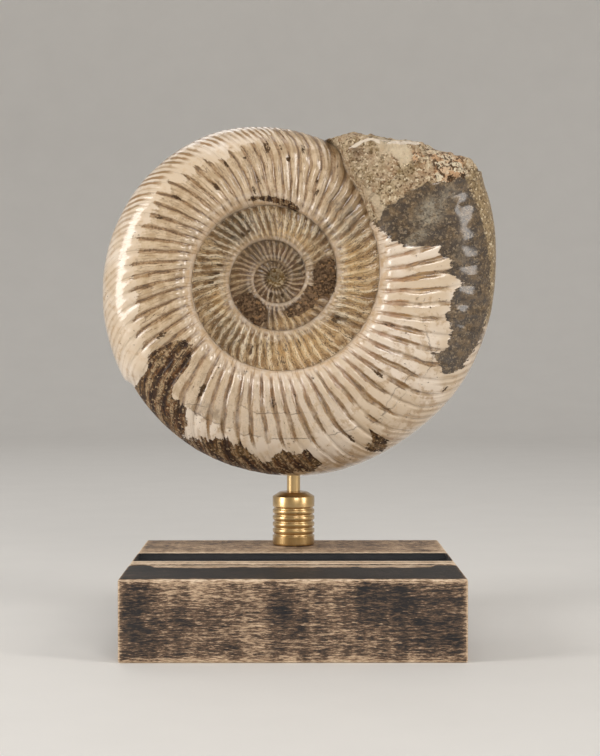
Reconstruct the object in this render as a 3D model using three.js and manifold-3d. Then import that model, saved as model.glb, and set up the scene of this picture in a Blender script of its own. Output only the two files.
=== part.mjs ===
import * as THREE from 'three';
import { mergeVertices } from 'three/addons/utils/BufferGeometryUtils.js';
import Module from 'manifold-3d';

// An ammonite fossil on a display stand, in millimetres and degrees, +Z up.
// The origin is the centre of the base's underside, the front faces -Y and +X is to the right.

// Wooden base, a square block with a channel and a shallow slot across its top, both between thin end walls
const BASE_WIDTH = 150;
const BASE_DEPTH = 150;
const BASE_HEIGHT = 36;
const CORNER_RADIUS = 1.2;
const END_WALL = 1;
const CHANNEL_FRONT = 63;
const CHANNEL_BACK = 94;
const CHANNEL_DEPTH = 3;
const SLOT_FRONT = 47;
const SLOT_BACK = 52;
const SLOT_DEPTH = 0.8;

// Brass socket and pin, turned parts on one upright axis
const PIN_X = 0.5;
const PIN_Y = 54;
const CONTACT_GAP = 0.3;
const SOCKET_RADIUS = 10.7;
const SOCKET_MOUTH_RADIUS = 6.7;
const SOCKET_HEIGHT = 26.5;
const SOCKET_CONE_HEIGHT = 2.2;
const SOCKET_GROOVES = 5;
const FIRST_GROOVE_HEIGHT = 5.4;
const GROOVE_PITCH = 3.25;
const GROOVE_HALF_WIDTH = 0.55;
const GROOVE_DEPTH = 0.7;
const SOCKET_SIDES = 18;
const PIN_RADIUS = 3.35;
const PIN_SIDES = 16;
const PIN_DEPTH_IN_SOCKET = 9;
const PIN_DEPTH_IN_SHELL = 11;
const PIN_ANGLE = 275.5;

// Coil of the shell. Angles turn anticlockwise seen from the front, from +X, and grow with age
const COIL_X = -9.06;
const COIL_Z = 169.9;
const OUTER_RADIUS = 67.3;
const OUTER_GROWTH = 1.648;
const OUTER_SHIFT_X = 0.43;
const OUTER_SHIFT_Z = -0.41;
const SEAM_RADIUS = 30.9;
const SEAM_RATE = 0.604;
const SEAM_SLOWING = 0.082;
const FIRST_ANGLE = -1260;
const OPEN_ANGLE = 70;
const BREAK_ANGLE = 387;
const LAST_ANGLE = OPEN_ANGLE + 360;
const UNDER_RIM_INSET = 0.4;

// Whorl section: two quarter superellipses, from the outer rim to the flank and on to the seam
const THICKNESS_SHARE = 0.253;
const FLANK_START = 0.22;
const RIM_POWER = 2.4;
const FLANK_POWER = 2.3;
const BROKEN_POWER = 6;
const WALL_POWER = 2.6;

// Ribs: their spacing in degrees at some ages, their height and how far they lean forward
const RIB_SPACING = [
  [-1260, 20], [-700, 14], [-640, 7.5], [-560, 8.5], [-320, 8.2], [-250, 6.7], [60, 6.4], [110, 5.45],
];
const RIB_HEIGHT = 0.55;
const INNER_RIB_HEIGHT = 0.4;
const RIB_LEAN = 7;
const RIM_LEAN = 7;
const ROCK_ROUGHNESS = 1.1;

// Departures of the outer rim from an even spiral, as [angle, millimetres]
const RIM_UNEVENNESS = [
  [60, 0], [75, -0.5], [95, -0.2], [110, 0.5], [150, 0.1], [180, -0.2], [214, 0.3], [217, -1.9],
  [230, -1.2], [245, -0.3], [265, 0.3], [288, 0.9], [312, 0.1], [328, 0.7], [343, 0.3], [362, -0.6],
  [387, 0.6],
];

// Broken end of the last whorl: its upper edge and its edge on the whorl below, as [angle, radius]
const BROKEN_EDGE = [
  [387, 115.6], [391, 112], [396, 103.5], [402, 98.2], [407, 91.6], [413, 86.8],
  [418, 82.2], [423, 78.4], [427, 75.2], [430, 73.7],
];
const ROCK_FOOT = [
  [390, 55], [397, 57.4], [405, 59.2], [412, 61.6], [418, 65], [422, 70], [427, 73.2], [430, 73.7],
];

// The rock is thickest at the second of these angles and tapers to its end from the first
const TAPER_ANGLE = 395;
const THICKEST_ANGLE = 400;

// Columns of the surface have more rows where more of the whorl is seen
const OPEN_ROWS = [0, 22, 45, 68, 90, 117, 145, 180];
const COVERED_ROWS = { outer: 2, inner: [126, 180] };
const INNER_ROWS = { outer: 1, inner: [132, 180] };
const SMOOTH_AGE = -700;
const INNER_AGE = -290;

const radians = (degrees) => THREE.MathUtils.degToRad(degrees);

// Value at x on a line through points given as [x, value]
function interpolate(points, x) {
  if (x <= points[0][0]) return points[0][1];
  for (let i = 1; i < points.length; i += 1) {
    const [x0, y0] = points[i - 1];
    const [x1, y1] = points[i];
    if (x <= x1) return y0 + ((y1 - y0) * (x - x0)) / (x1 - x0);
  }
  return points[points.length - 1][1];
}

// Spiral of the outer rim, without its unevenness
const evenOuterRadius = (angle) => OUTER_RADIUS * OUTER_GROWTH ** (angle / 360);

function outerRadius(angle) {
  if (angle > BREAK_ANGLE) return interpolate(BROKEN_EDGE, angle);
  const shift = OUTER_SHIFT_X * Math.cos(radians(angle)) + OUTER_SHIFT_Z * Math.sin(radians(angle));
  const visible = THREE.MathUtils.smoothstep(angle, 0, OPEN_ANGLE);
  return evenOuterRadius(angle) + visible * shift + interpolate(RIM_UNEVENNESS, angle);
}

// Spiral of the umbilical seam, where a whorl meets the one below
function seamRadius(angle) {
  const turns = angle / 360;
  const spiral = SEAM_RADIUS * Math.exp(SEAM_RATE * turns - SEAM_SLOWING * turns * turns);
  return angle > ROCK_FOOT[0][0] ? interpolate(ROCK_FOOT, angle) : spiral;
}

// Half of the whorl's breadth, falling to nothing where the broken end runs out
function halfThickness(angle) {
  const taper = Math.min(Math.max((angle - TAPER_ANGLE) / (LAST_ANGLE - TAPER_ANGLE), 0), 1);
  const radius = evenOuterRadius(Math.min(angle, THICKEST_ANGLE));
  return THICKNESS_SHARE * radius * Math.sqrt(1 - taper ** 2.5);
}

// Squareness of the rim, which turns into a flat broken face at the end
function rimPowers(angle) {
  const broken = THREE.MathUtils.smoothstep(angle, BREAK_ANGLE - 4, BREAK_ANGLE + 8);
  const rim = THREE.MathUtils.lerp(RIM_POWER, BROKEN_POWER, broken);
  const flank = THREE.MathUtils.lerp(FLANK_POWER, BROKEN_POWER, broken);
  return [rim, flank];
}

// Depth of the flank at a given radius, on the outer part of the section
function flankDepth(angle, radius) {
  const [rim, flank] = rimPowers(angle);
  const share = (radius - seamRadius(angle)) / (outerRadius(angle) - seamRadius(angle));
  const x = Math.min(Math.max((share - FLANK_START) / (1 - FLANK_START), 0), 1);
  return halfThickness(angle) * (1 - x ** rim) ** (1 / flank);
}

// Point of the whorl section: 0 is the rim, 90 the broadest part and 180 the seam
function sectionPoint(angle, station) {
  const inner = seamRadius(angle);
  const height = outerRadius(angle) - inner;
  const thickness = halfThickness(angle);
  if (station <= 90) {
    const [rim, flank] = rimPowers(angle);
    const share = FLANK_START + (1 - FLANK_START) * Math.cos(radians(station)) ** (2 / rim);
    const depth = thickness * Math.sin(radians(station)) ** (2 / flank);
    return new THREE.Vector2(inner + height * share, depth);
  }
  const turned = radians(station - 90);
  const foot = Math.min(flankDepth(angle - 360, inner), thickness);
  const share = FLANK_START * (1 - Math.sin(turned) ** (2 / WALL_POWER));
  const depth = foot + (thickness - foot) * Math.max(Math.cos(turned), 0) ** (2 / WALL_POWER);
  return new THREE.Vector2(inner + height * share, depth);
}

// Station on a covered whorl at which the next whorl hides it
function coverStation(angle) {
  const inner = seamRadius(angle);
  const share = (seamRadius(angle + 360) - UNDER_RIM_INSET - inner) / (outerRadius(angle) - inner);
  const x = Math.min(Math.max((share - FLANK_START) / (1 - FLANK_START), 0), 1);
  return THREE.MathUtils.radToDeg(Math.acos(x ** (rimPowers(angle)[0] / 2)));
}

// Forward lean of a rib, in degrees, at a station of the section
function leanAt(angle, station) {
  const inner = seamRadius(angle);
  const share = (sectionPoint(angle, station).x - inner) / (outerRadius(angle) - inner);
  const fade = 1 - THREE.MathUtils.smoothstep(angle, BREAK_ANGLE - 30, BREAK_ANGLE);
  return fade * (RIB_LEAN * share + RIM_LEAN * share ** 6);
}

// Repeatable value from -1 to 1 for a pair of numbers
function scatter(a, b) {
  const wave = Math.sin(a * 12.9898 + b * 78.233) * 43758.5453;
  return 2 * (wave - Math.floor(wave)) - 1;
}

// Height of the ribs, none on the umbilical wall, the innermost turns and the bare rock
function ribHeight(angle, station) {
  const height = angle < 0 ? INNER_RIB_HEIGHT : RIB_HEIGHT;
  const wall = 1 - THREE.MathUtils.smoothstep(station, 112, 150);
  const bare = 1 - THREE.MathUtils.smoothstep(angle, BREAK_ANGLE - 16, BREAK_ANGLE - 4);
  return angle < SMOOTH_AGE ? 0 : height * wall * bare;
}

// Section point moved along its own normal by the rib or the roughness of the rock
function relievedPoint(angle, station, ribSign) {
  const point = sectionPoint(angle, station);
  const ahead = sectionPoint(angle, Math.min(station + 1, 180));
  const behind = sectionPoint(angle, Math.max(station - 1, 0));
  const along = ahead.sub(behind).normalize();
  const normal = new THREE.Vector2(-along.y, along.x).negate();
  if (station === 0) normal.set(1, 0);
  const rock = THREE.MathUtils.smoothstep(angle, BREAK_ANGLE - 6, BREAK_ANGLE + 4);
  const end = 1 - THREE.MathUtils.smoothstep(angle, LAST_ANGLE - 8, LAST_ANGLE);
  const foot = station > 170 ? 0 : 1;
  const lumps = ROCK_ROUGHNESS * rock * end * foot * scatter(angle, station);
  return point.addScaledVector(normal, ribSign * ribHeight(angle, station) + lumps);
}

// Row stations of the column that starts at an angle
function rowStations(angle, opened) {
  if (opened) return OPEN_ROWS;
  const rows = angle < INNER_AGE ? INNER_ROWS : COVERED_ROWS;
  let cover = 60;
  for (let pass = 0; pass < 4; pass += 1) cover = coverStation(angle + leanAt(angle, cover));
  const outer = [];
  for (let i = 0; i <= rows.outer; i += 1) outer.push(cover + ((90 - cover) * i) / rows.outer);
  return [...outer, ...rows.inner];
}

// Start angles of the columns: one on each rib and one in each furrow between two ribs
function columnAngles() {
  const opening = OPEN_ANGLE - leanAt(OPEN_ANGLE, 0);
  const before = [];
  for (let a = opening; a > FIRST_ANGLE; a -= interpolate(RIB_SPACING, a) / 2) before.unshift(a);
  const after = [];
  let angle = opening;
  while (angle < LAST_ANGLE - 2) {
    angle += interpolate(RIB_SPACING, angle) / 2;
    after.push(Math.min(angle, LAST_ANGLE));
  }
  after[after.length - 1] = LAST_ANGLE;
  return { angles: [...before, ...after], openColumn: before.length - 1 };
}

// Triangles and points of a surface under construction
class Surface {
  constructor() {
    this.points = [];
    this.triangles = [];
  }

  addPoint(angle, radius, depth) {
    const turned = radians(angle);
    const x = COIL_X + radius * Math.cos(turned);
    const z = COIL_Z + radius * Math.sin(turned);
    this.points.push(x, PIN_Y + depth, z);
    return this.points.length / 3 - 1;
  }

  addTriangle(a, b, c) {
    if (a !== b && b !== c && c !== a) this.triangles.push(a, b, c);
  }

  // Fills the strip between two lines of points whose keys rise along both
  zip(left, right, reversed) {
    let i = 0;
    let j = 0;
    while (i < left.length - 1 || j < right.length - 1) {
      const leftNext = i < left.length - 1 ? left[i + 1].key : Infinity;
      const rightNext = j < right.length - 1 ? right[j + 1].key : Infinity;
      const stepLeft = leftNext <= rightNext;
      const third = stepLeft ? left[i + 1].index : right[j + 1].index;
      const corners = [left[i].index, right[j].index, third];
      if (reversed) corners.reverse();
      this.addTriangle(...corners);
      if (stepLeft) i += 1;
      else j += 1;
    }
  }

  geometry() {
    const made = new THREE.BufferGeometry();
    made.setAttribute('position', new THREE.Float32BufferAttribute(this.points, 3));
    made.setIndex(this.triangles);
    return made;
  }
}

// Columns of points on one side of the shell, each from the outer edge in to the seam
function sideColumns(surface, side, rim, layout) {
  return layout.angles.map((start, number) => {
    const opened = number >= layout.openColumn;
    if (number === layout.angles.length - 1) return [rim[0]];
    const ribSign = (number - layout.openColumn) % 2 === 0 ? 1 : -1;
    return rowStations(start, opened).map((station, row) => {
      if (opened && row === 0) return rim[number - layout.openColumn];
      const angle = start + leanAt(start, station);
      const point = relievedPoint(angle, station, ribSign);
      return { index: surface.addPoint(angle, point.x, side * point.y), key: station, angle };
    });
  });
}

// Points of the outer rim on the middle plane, shared by both sides
function rimPoints(surface, layout) {
  return layout.angles.slice(layout.openColumn, -1).map((start, number) => {
    const angle = start + leanAt(start, 0);
    const point = relievedPoint(angle, 0, number % 2 === 0 && number > 0 ? 1 : -1);
    return { index: surface.addPoint(angle, point.x, 0), key: 0, angle };
  });
}

// One side of the shell: its columns, the seam between whorls and the cap at the centre
function addSide(surface, side, rim, layout) {
  const columns = sideColumns(surface, side, rim, layout);
  const reversed = side > 0;
  for (let i = 1; i < columns.length; i += 1) surface.zip(columns[i - 1], columns[i], reversed);
  const seam = columns.map((column) => column[column.length - 1]);
  const seamLine = seam.map((point) => ({ index: point.index, key: point.angle }));
  seamLine[seamLine.length - 1].key = LAST_ANGLE;
  const coverLine = columns.slice(0, layout.openColumn + 1)
    .map((column) => ({ index: column[0].index, key: column[0].angle + 360 }));
  const firstCovering = seamLine.findIndex((point) => point.key >= coverLine[0].key);
  surface.zip(coverLine, seamLine.slice(firstCovering), reversed);
  const centre = surface.addPoint(0, 0, side * halfThickness(FIRST_ANGLE));
  const loop = [...seamLine.slice(0, firstCovering + 1), ...columns[0]];
  for (let i = 1; i < loop.length; i += 1) {
    const corners = [loop[i - 1].index, loop[i].index, centre];
    if (reversed) corners.reverse();
    surface.addTriangle(...corners);
  }
}

function shellGeometry() {
  const surface = new Surface();
  const layout = columnAngles();
  const rim = rimPoints(surface, layout);
  addSide(surface, -1, rim, layout);
  addSide(surface, 1, rim, layout);
  return surface.geometry();
}

// Closed profile turned about the upright axis of the pin
function turned(profile, sides) {
  const points = profile.map(([radius, height]) => new THREE.Vector2(radius, height));
  const geometry = new THREE.LatheGeometry(points, sides);
  geometry.rotateX(Math.PI / 2);
  geometry.translate(PIN_X, PIN_Y, 0);
  return geometry;
}

const socketFoot = BASE_HEIGHT + CONTACT_GAP;
const socketTop = socketFoot + SOCKET_HEIGHT;
const shellFoot = COIL_Z - outerRadius(PIN_ANGLE) * Math.cos(radians(PIN_ANGLE - 270));
const pinFoot = socketTop - PIN_DEPTH_IN_SOCKET;
const pinTop = shellFoot + PIN_DEPTH_IN_SHELL;
const boreRadius = PIN_RADIUS + CONTACT_GAP;

// Socket with rounded beads between turned grooves and a blind bore for the pin
function socketProfile() {
  const profile = [[0, socketFoot], [SOCKET_RADIUS, socketFoot]];
  for (let i = 0; i < SOCKET_GROOVES; i += 1) {
    const height = socketFoot + FIRST_GROOVE_HEIGHT + i * GROOVE_PITCH;
    profile.push([SOCKET_RADIUS, height - GROOVE_HALF_WIDTH]);
    profile.push([SOCKET_RADIUS - GROOVE_DEPTH, height]);
    profile.push([SOCKET_RADIUS, height + GROOVE_HALF_WIDTH]);
  }
  profile.push([SOCKET_RADIUS, socketTop - SOCKET_CONE_HEIGHT], [SOCKET_MOUTH_RADIUS, socketTop]);
  profile.push([boreRadius, socketTop], [boreRadius, pinFoot - CONTACT_GAP], [0, pinFoot - CONTACT_GAP]);
  return profile;
}

const cylinderProfile = (radius, low, high) => [[0, low], [radius, low], [radius, high], [0, high]];

const wasm = await Module();
wasm.setup();

function toSolid(geometry) {
  const bare = geometry.clone();
  bare.deleteAttribute('normal');
  bare.deleteAttribute('uv');
  const merged = mergeVertices(bare, 1e-4);
  const vertProperties = new Float32Array(merged.attributes.position.array);
  const triVerts = new Uint32Array(merged.index.array);
  return new wasm.Manifold(new wasm.Mesh({ numProp: 3, vertProperties, triVerts }));
}

function toGeometry(solid) {
  const { vertProperties, triVerts } = solid.getMesh();
  const made = new THREE.BufferGeometry();
  made.setAttribute('position', new THREE.BufferAttribute(vertProperties, 3));
  made.setIndex(new THREE.BufferAttribute(triVerts, 1));
  made.computeVertexNormals();
  return made;
}

// Shell drilled from below for the pin
function ammoniteGeometry() {
  const bore = turned(cylinderProfile(boreRadius, shellFoot - 5, pinTop + CONTACT_GAP), PIN_SIDES);
  return toGeometry(toSolid(shellGeometry()).subtract(toSolid(bore)));
}

// Square block with eased upright corners, seen from above
function baseFootprint() {
  const x = BASE_WIDTH / 2;
  const y = BASE_DEPTH / 2;
  const r = CORNER_RADIUS;
  const corners = [
    [x - r, -y], [x, r - y], [x, y - r], [x - r, y], [r - x, y], [-x, y - r], [-x, r - y], [r - x, -y],
  ];
  return new THREE.Shape(corners.map(([across, along]) => new THREE.Vector2(across, along)));
}

// Bar that cuts into the top of the base between two distances from its front
function topCut(front, back, depth) {
  const bar = new THREE.BoxGeometry(BASE_WIDTH - 2 * END_WALL, back - front, 2 * depth);
  bar.translate(0, (front + back - BASE_DEPTH) / 2, BASE_HEIGHT);
  return toSolid(bar);
}

function baseGeometry() {
  const block = new THREE.ExtrudeGeometry(baseFootprint(), { depth: BASE_HEIGHT, bevelEnabled: false });
  const channel = topCut(CHANNEL_FRONT, CHANNEL_BACK, CHANNEL_DEPTH);
  const slot = topCut(SLOT_FRONT, SLOT_BACK, SLOT_DEPTH);
  return toGeometry(toSolid(block).subtract(channel).subtract(slot));
}

function addPiece(group, name, geometry, finish) {
  const piece = new THREE.Mesh(geometry, new THREE.MeshStandardMaterial(finish));
  piece.name = name;
  group.add(piece);
}

const model = new THREE.Group();
const brass = { color: 0xc9a566, roughness: 0.32, metalness: 1 };
addPiece(model, 'ammonite', ammoniteGeometry(), { color: 0xb9a78c, roughness: 0.35, metalness: 0 });
addPiece(model, 'brass_pin', turned(cylinderProfile(PIN_RADIUS, pinFoot, pinTop), PIN_SIDES), brass);
addPiece(model, 'brass_socket', turned(socketProfile(), SOCKET_SIDES), brass);
addPiece(model, 'wood_base', baseGeometry(), { color: 0x3d3a37, roughness: 0.6, metalness: 0 });

export default model;
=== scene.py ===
"""An ammonite fossil on a pin, a brass socket and a painted wooden block, dressed for a studio picture."""

import itertools
import math

import bpy
import numpy as np
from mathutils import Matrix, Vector


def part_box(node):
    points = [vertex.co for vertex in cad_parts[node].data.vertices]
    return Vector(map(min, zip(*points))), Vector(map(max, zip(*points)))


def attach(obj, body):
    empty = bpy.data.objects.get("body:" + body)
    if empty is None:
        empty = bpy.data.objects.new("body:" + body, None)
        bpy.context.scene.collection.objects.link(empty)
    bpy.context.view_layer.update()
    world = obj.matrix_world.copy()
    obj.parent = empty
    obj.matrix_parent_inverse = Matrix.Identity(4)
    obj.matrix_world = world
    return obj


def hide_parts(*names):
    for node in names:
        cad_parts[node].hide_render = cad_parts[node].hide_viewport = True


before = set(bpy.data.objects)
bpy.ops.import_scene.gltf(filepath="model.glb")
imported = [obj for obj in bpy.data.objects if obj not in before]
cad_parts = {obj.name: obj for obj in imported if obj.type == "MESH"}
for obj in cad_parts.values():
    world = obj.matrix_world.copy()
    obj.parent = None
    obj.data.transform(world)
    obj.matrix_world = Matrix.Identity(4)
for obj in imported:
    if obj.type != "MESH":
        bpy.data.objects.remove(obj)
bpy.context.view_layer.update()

MM = 0.001
PHOTO_WIDTH = 600
PHOTO_HEIGHT = 756

# Camera, set by the perspective of the block in the photograph
FOCAL_PIXELS = 1700
SENSOR = 36
EYE_X = -1.15
EYE_HEIGHT = 134.4
EYE_DISTANCE = 725
PITCH = 0.977
YAW = 0.327

# Coil of the shell in millimetres, degrees and turns. Ages grow anticlockwise seen from the front
COIL_X = -9.06
COIL_Z = 169.9
OUTER_RADIUS = 67.3
OUTER_GROWTH = 1.648
OUTER_SHIFT_X = 0.43
OUTER_SHIFT_Z = -0.41
SEAM_RADIUS = 30.9
SEAM_RATE = 0.604
SEAM_SLOWING = 0.082
FIRST_AGE = -1260
OPEN_AGE = 70
BREAK_AGE = 387
THICKEST_AGE = 400
TAPER_AGE = 395
LAST_AGE = OPEN_AGE + 360
UNDER_RIM_INSET = 0.25
THICKNESS_SHARE = 0.253
FLANK_START = 0.22
RIM_POWER = 2.4
FLANK_POWER = 2.3
BROKEN_POWER = 6
WALL_POWER = 2.6
TAPER_POWER = 2.5
RIB_LEAN = 7
RIM_LEAN = 7

# Departures of the rim from an even spiral, and the two edges of the broken end, as age and millimetres
RIM_UNEVENNESS = [
    (60, 0), (75, -0.5), (95, -0.2), (110, 0.5), (150, 0.1), (180, -0.2), (214, 0.3), (217, -1.9),
    (230, -1.2), (245, -0.3), (265, 0.3), (288, 0.9), (312, 0.1), (328, 0.7), (343, 0.3), (362, -0.6),
    (387, 0.6),
]
BROKEN_EDGE = [
    (387, 115.6), (391, 112), (396, 103.5), (402, 98.2), (407, 91.6), (413, 86.8), (418, 82.2), (423, 78.4),
    (427, 75.2), (430, 73.7),
]
ROCK_FOOT = [
    (390, 55), (397, 57.4), (405, 59.2), (412, 61.6), (418, 65), (422, 70), (427, 73.2), (430, 73.7),
]

# Ribs: degrees from one to the next on the inner whorls and after the last furrow, and on the outer whorl the
# furrows as the photograph shows them at one radius, as angle and count
RIB_SPACING = [
    (-1260, 20), (-900, 16), (-700, 12), (-560, 9), (-320, 8.2), (-250, 6.7), (60, 6.4),
]
LAST_RIB_SPACING = 5.5
FURROW_PIXELS = 125
FURROWS = [
    (63.5, -6), (79.5, -3), (92.8, 0), (119.2, 5), (141.1, 9), (156.7, 12), (182.9, 17), (199.4, 20),
    (222.8, 24), (236, 26), (252.8, 29), (268.9, 32), (295.3, 37), (316.8, 41), (337.6, 45), (353.9, 48),
    (370.9, 51),
]

# How ribs change along the coil, as age and value: share of broad ribs with grooves, width and depth of the
# grooves, height of the ridges, where ribs fork, how far they fade past the fork and depth of the fine ones
PLATEAU = [(10, 0.1), (50, 0.45), (110, 0.55), (180, 0.65), (260, 0.95), (300, 1)]
RIB_GROOVE_WIDTH = [(60, 0.2), (200, 0.18), (290, 0.15), (360, 0.14)]
RIB_GROOVE_DEPTH = [(40, 0.65), (120, 0.8), (240, 0.9), (300, 0.8), (350, 0.7)]
RIDGE_HEIGHT = [(-1100, 0.2), (-900, 0.5), (-600, 0.8), (-300, 1.15), (0, 1.3), (120, 0.7)]
FORK_SHARE = [(70, 0.68), (112, 0.56), (232, 0.58), (250, 0.68)]
FORK_FADING = [(80, 0.85), (112, 0.97), (232, 0.97), (250, 0.85)]
FINE_DEPTH = [(75, 0.3), (112, 0.14), (130, 0.05), (232, 0.05), (250, 0.12), (372, 0.1)]

# Wandering of the ribs, in ribs, broad and close
BROAD_WANDER = [(-300, 0.32), (20, 0.26), (110, 0.12)]
CLOSE_WANDER = [(-900, 0.15), (-400, 0.22), (-300, 0.1), (60, 0)]

# Parts of the spiral surface: first age, columns for each rib, rows outside and inside the flank's top
SEGMENTS = [
    (FIRST_AGE, 4, 3, 3),
    (-900, 7, 5, 5),
    (-650, 9, 7, 6),
    (-290, 9, 10, 9),
    (25, 9, 20, 10),
]
OPEN_COLUMNS = 10
OPEN_OUTER_ROWS = 29
OPEN_INNER_ROWS = 11
OPEN_SECTION_AGE = 250

# Stone that fills the innermost hollow
BOSS_RADIUS = 4.6
BOSS_DEPTH = 1.7
BOSS_SLOPE = 4
BOSS_LAST_AGE = -700

# Depth that nothing passes, and the margin below it in which the relief flattens out
MOST_DEPTH = 29.85
DEPTH_MARGIN = 1.6


def box_in_mm(node):
    """Low and high corner of a solid's box."""
    return [np.array(corner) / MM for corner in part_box(node)]


base_low, base_high = box_in_mm("wood_base")
socket_low, socket_high = box_in_mm("brass_socket")
pin_low, pin_high = box_in_mm("brass_pin")
pin_x, pin_y, _ = (pin_low + pin_high) / 2
pin_radius = (pin_high[0] - pin_low[0]) / 2


def along(points, x):
    """Value at x on the line through (x, value) points."""
    return np.interp(x, *zip(*points))


def rise(x, low, high):
    """Smooth step from 0 at low to 1 at high."""
    t = np.clip((x - low) / (high - low), 0, 1)
    return t * t * (3 - 2 * t)


def fall(x, low, high):
    """Smooth step from 1 at low to 0 at high."""
    return 1 - rise(x, low, high)


def lattice_noise(points, size, seed):
    """Smooth repeatable noise from -1 to 1, with lumps about size across."""
    scaled = np.asarray(points, float) / size
    cell = np.floor(scaled).astype(np.int64)
    part = scaled - cell
    blend = part * part * (3 - 2 * part)
    total = np.zeros(scaled.shape[:-1])
    for corner in itertools.product((0, 1), repeat=3):
        spot = cell + np.array(corner)
        mixed = spot[..., 0] * 73856093 ^ spot[..., 1] * 19349663 ^ spot[..., 2] * 83492791 ^ seed * 2654435
        mixed = (mixed ^ (mixed >> 13)) * 1274126177 & 0x7FFFFFFF
        total += np.where(np.array(corner), blend, 1 - blend).prod(-1) * ((mixed >> 8) % 65536 / 65535)
    return total * 2 - 1


def cloudy_noise(points, size, octaves, seed):
    """Several layers of noise, each half as large and half as strong as the last."""
    parts = [lattice_noise(points, size / 2**i, seed + i) / 2**i for i in range(octaves)]
    return sum(parts) / (2 - 0.5 ** (octaves - 1))


def chance(number, seed):
    """Repeatable value from 0 to 1 for each whole number."""
    wave = np.sin(np.floor(number) * 12.9898 + seed * 78.233) * 43758.5453
    return wave - np.floor(wave)


def even_outer_radius(age):
    return OUTER_RADIUS * OUTER_GROWTH ** (age / 360)


def outer_radius(age):
    turned = np.radians(age)
    shift = OUTER_SHIFT_X * np.cos(turned) + OUTER_SHIFT_Z * np.sin(turned)
    whole = even_outer_radius(age) + rise(age, 0, OPEN_AGE) * shift
    whole += along(RIM_UNEVENNESS, np.minimum(age, BREAK_AGE))
    return np.where(age > BREAK_AGE, along(BROKEN_EDGE, age), whole)


def seam_radius(age):
    turns = age / 360
    spiral = SEAM_RADIUS * np.exp(SEAM_RATE * turns - SEAM_SLOWING * turns * turns)
    return np.where(age > ROCK_FOOT[0][0], along(ROCK_FOOT, age), spiral)


def half_thickness(age):
    taper = np.clip((age - TAPER_AGE) / (LAST_AGE - TAPER_AGE), 0, 1)
    even = even_outer_radius(np.minimum(age, THICKEST_AGE))
    return THICKNESS_SHARE * even * np.sqrt(1 - taper**TAPER_POWER)


def rim_powers(age):
    """Powers of the section's outer curve, which is boxier at the broken end."""
    broken = rise(age, BREAK_AGE - 4, BREAK_AGE + 8)
    return [power + (BROKEN_POWER - power) * broken for power in (RIM_POWER, FLANK_POWER)]


def share_of_height(age, radius):
    """How far out a radius lies on a whorl, 0 at the seam and 1 at the rim."""
    inner = seam_radius(age)
    return (radius - inner) / (outer_radius(age) - inner)


def flank_share(age, radius):
    """How far out a radius lies on the outer part of a whorl, from 0 to 1."""
    return np.clip((share_of_height(age, radius) - FLANK_START) / (1 - FLANK_START), 0, 1)


def flank_depth(age, radius):
    rim, flank = rim_powers(age)
    return half_thickness(age) * (1 - flank_share(age, radius) ** rim) ** (1 / flank)


def section(age, station):
    """Radius and depth of the whorl: station 0 is the rim, 90 the broadest part, 180 the seam."""
    inner = seam_radius(age)
    thickness = half_thickness(age)
    rim, flank = rim_powers(age)
    turned = np.radians(np.minimum(station, 90))
    share = FLANK_START + (1 - FLANK_START) * np.cos(turned).clip(0) ** (2 / rim)
    depth = thickness * np.sin(turned) ** (2 / flank)
    down = np.radians(np.clip(station - 90, 0, 90))
    foot = np.minimum(flank_depth(age - 360, inner), thickness)
    wall_share = FLANK_START * (1 - np.sin(down) ** (2 / WALL_POWER))
    wall_depth = foot + (thickness - foot) * np.cos(down).clip(0) ** (2 / WALL_POWER)
    outside = station <= 90
    radius = inner + (outer_radius(age) - inner) * np.where(outside, share, wall_share)
    return radius, np.where(outside, depth, wall_depth)


def share_at(age, station):
    return share_of_height(age, section(age, station)[0])


def full_lean(share):
    """Degrees that a whole rib has swung forward at a share of the whorl's height."""
    return RIB_LEAN * share + RIM_LEAN * share**6


def lean_at(age, station):
    return fall(age, BREAK_AGE - 30, BREAK_AGE) * full_lean(share_at(age, station))


def cover_station(age):
    """Station at which the next whorl hides this one."""
    station = np.full_like(age, 60.0)
    for _ in range(6):
        seen = age + lean_at(age, station)
        share = flank_share(seen, seam_radius(seen + 360) - UNDER_RIM_INSET)
        station = np.degrees(np.arccos(share ** (rim_powers(seen)[0] / 2)))
    return station


def furrow_start_age(angle):
    """Age at which a furrow leaves the seam, from its angle in the photograph at FURROW_PIXELS."""
    turned = math.radians(angle)
    x = COIL_PIXEL[0] + FURROW_PIXELS * math.cos(turned) - PHOTO_WIDTH / 2
    y = PHOTO_HEIGHT / 2 - COIL_PIXEL[1] + FURROW_PIXELS * math.sin(turned)
    ray = RIGHT * x + UP * y + AHEAD * FOCAL_PIXELS
    age = angle
    for _ in range(4):
        spot = EYE + ray * (pin_y - float(half_thickness(age)) - EYE[1]) / ray[1]
        across, high = spot[0] - COIL_X, spot[2] - COIL_Z
        age = angle + (math.degrees(math.atan2(high, across)) - angle + 180) % 360 - 180
    return age - full_lean(float(share_of_height(age, math.hypot(across, high))))


def rib_counts():
    """Start ages and the count of ribs up to each, whole numbers on the crests."""
    outer = [(furrow_start_age(angle), count + 0.5) for angle, count in FURROWS]
    outer.append((LAST_AGE, outer[-1][1] + (LAST_AGE - outer[-1][0]) / LAST_RIB_SPACING))
    outer_ages, outer_counts = zip(*outer)
    grid = np.arange(FIRST_AGE, math.floor(outer_ages[0]))
    left = np.cumsum((1 / along(RIB_SPACING, grid))[::-1])[::-1]
    return np.concatenate([grid, outer_ages]), np.concatenate([outer_counts[0] - left, outer_counts])


def rib_number(age):
    return np.interp(age, *RIB_COUNTS)


def ages_between(first, last, columns):
    """Start ages from first up to last, spaced evenly in ribs."""
    grid = np.linspace(first, last, 4000)
    count = rib_number(grid)
    number = max(2, int(round((count[-1] - count[0]) * columns)))
    return np.interp(np.linspace(count[0], count[-1], number, endpoint=False), count, grid)


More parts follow.
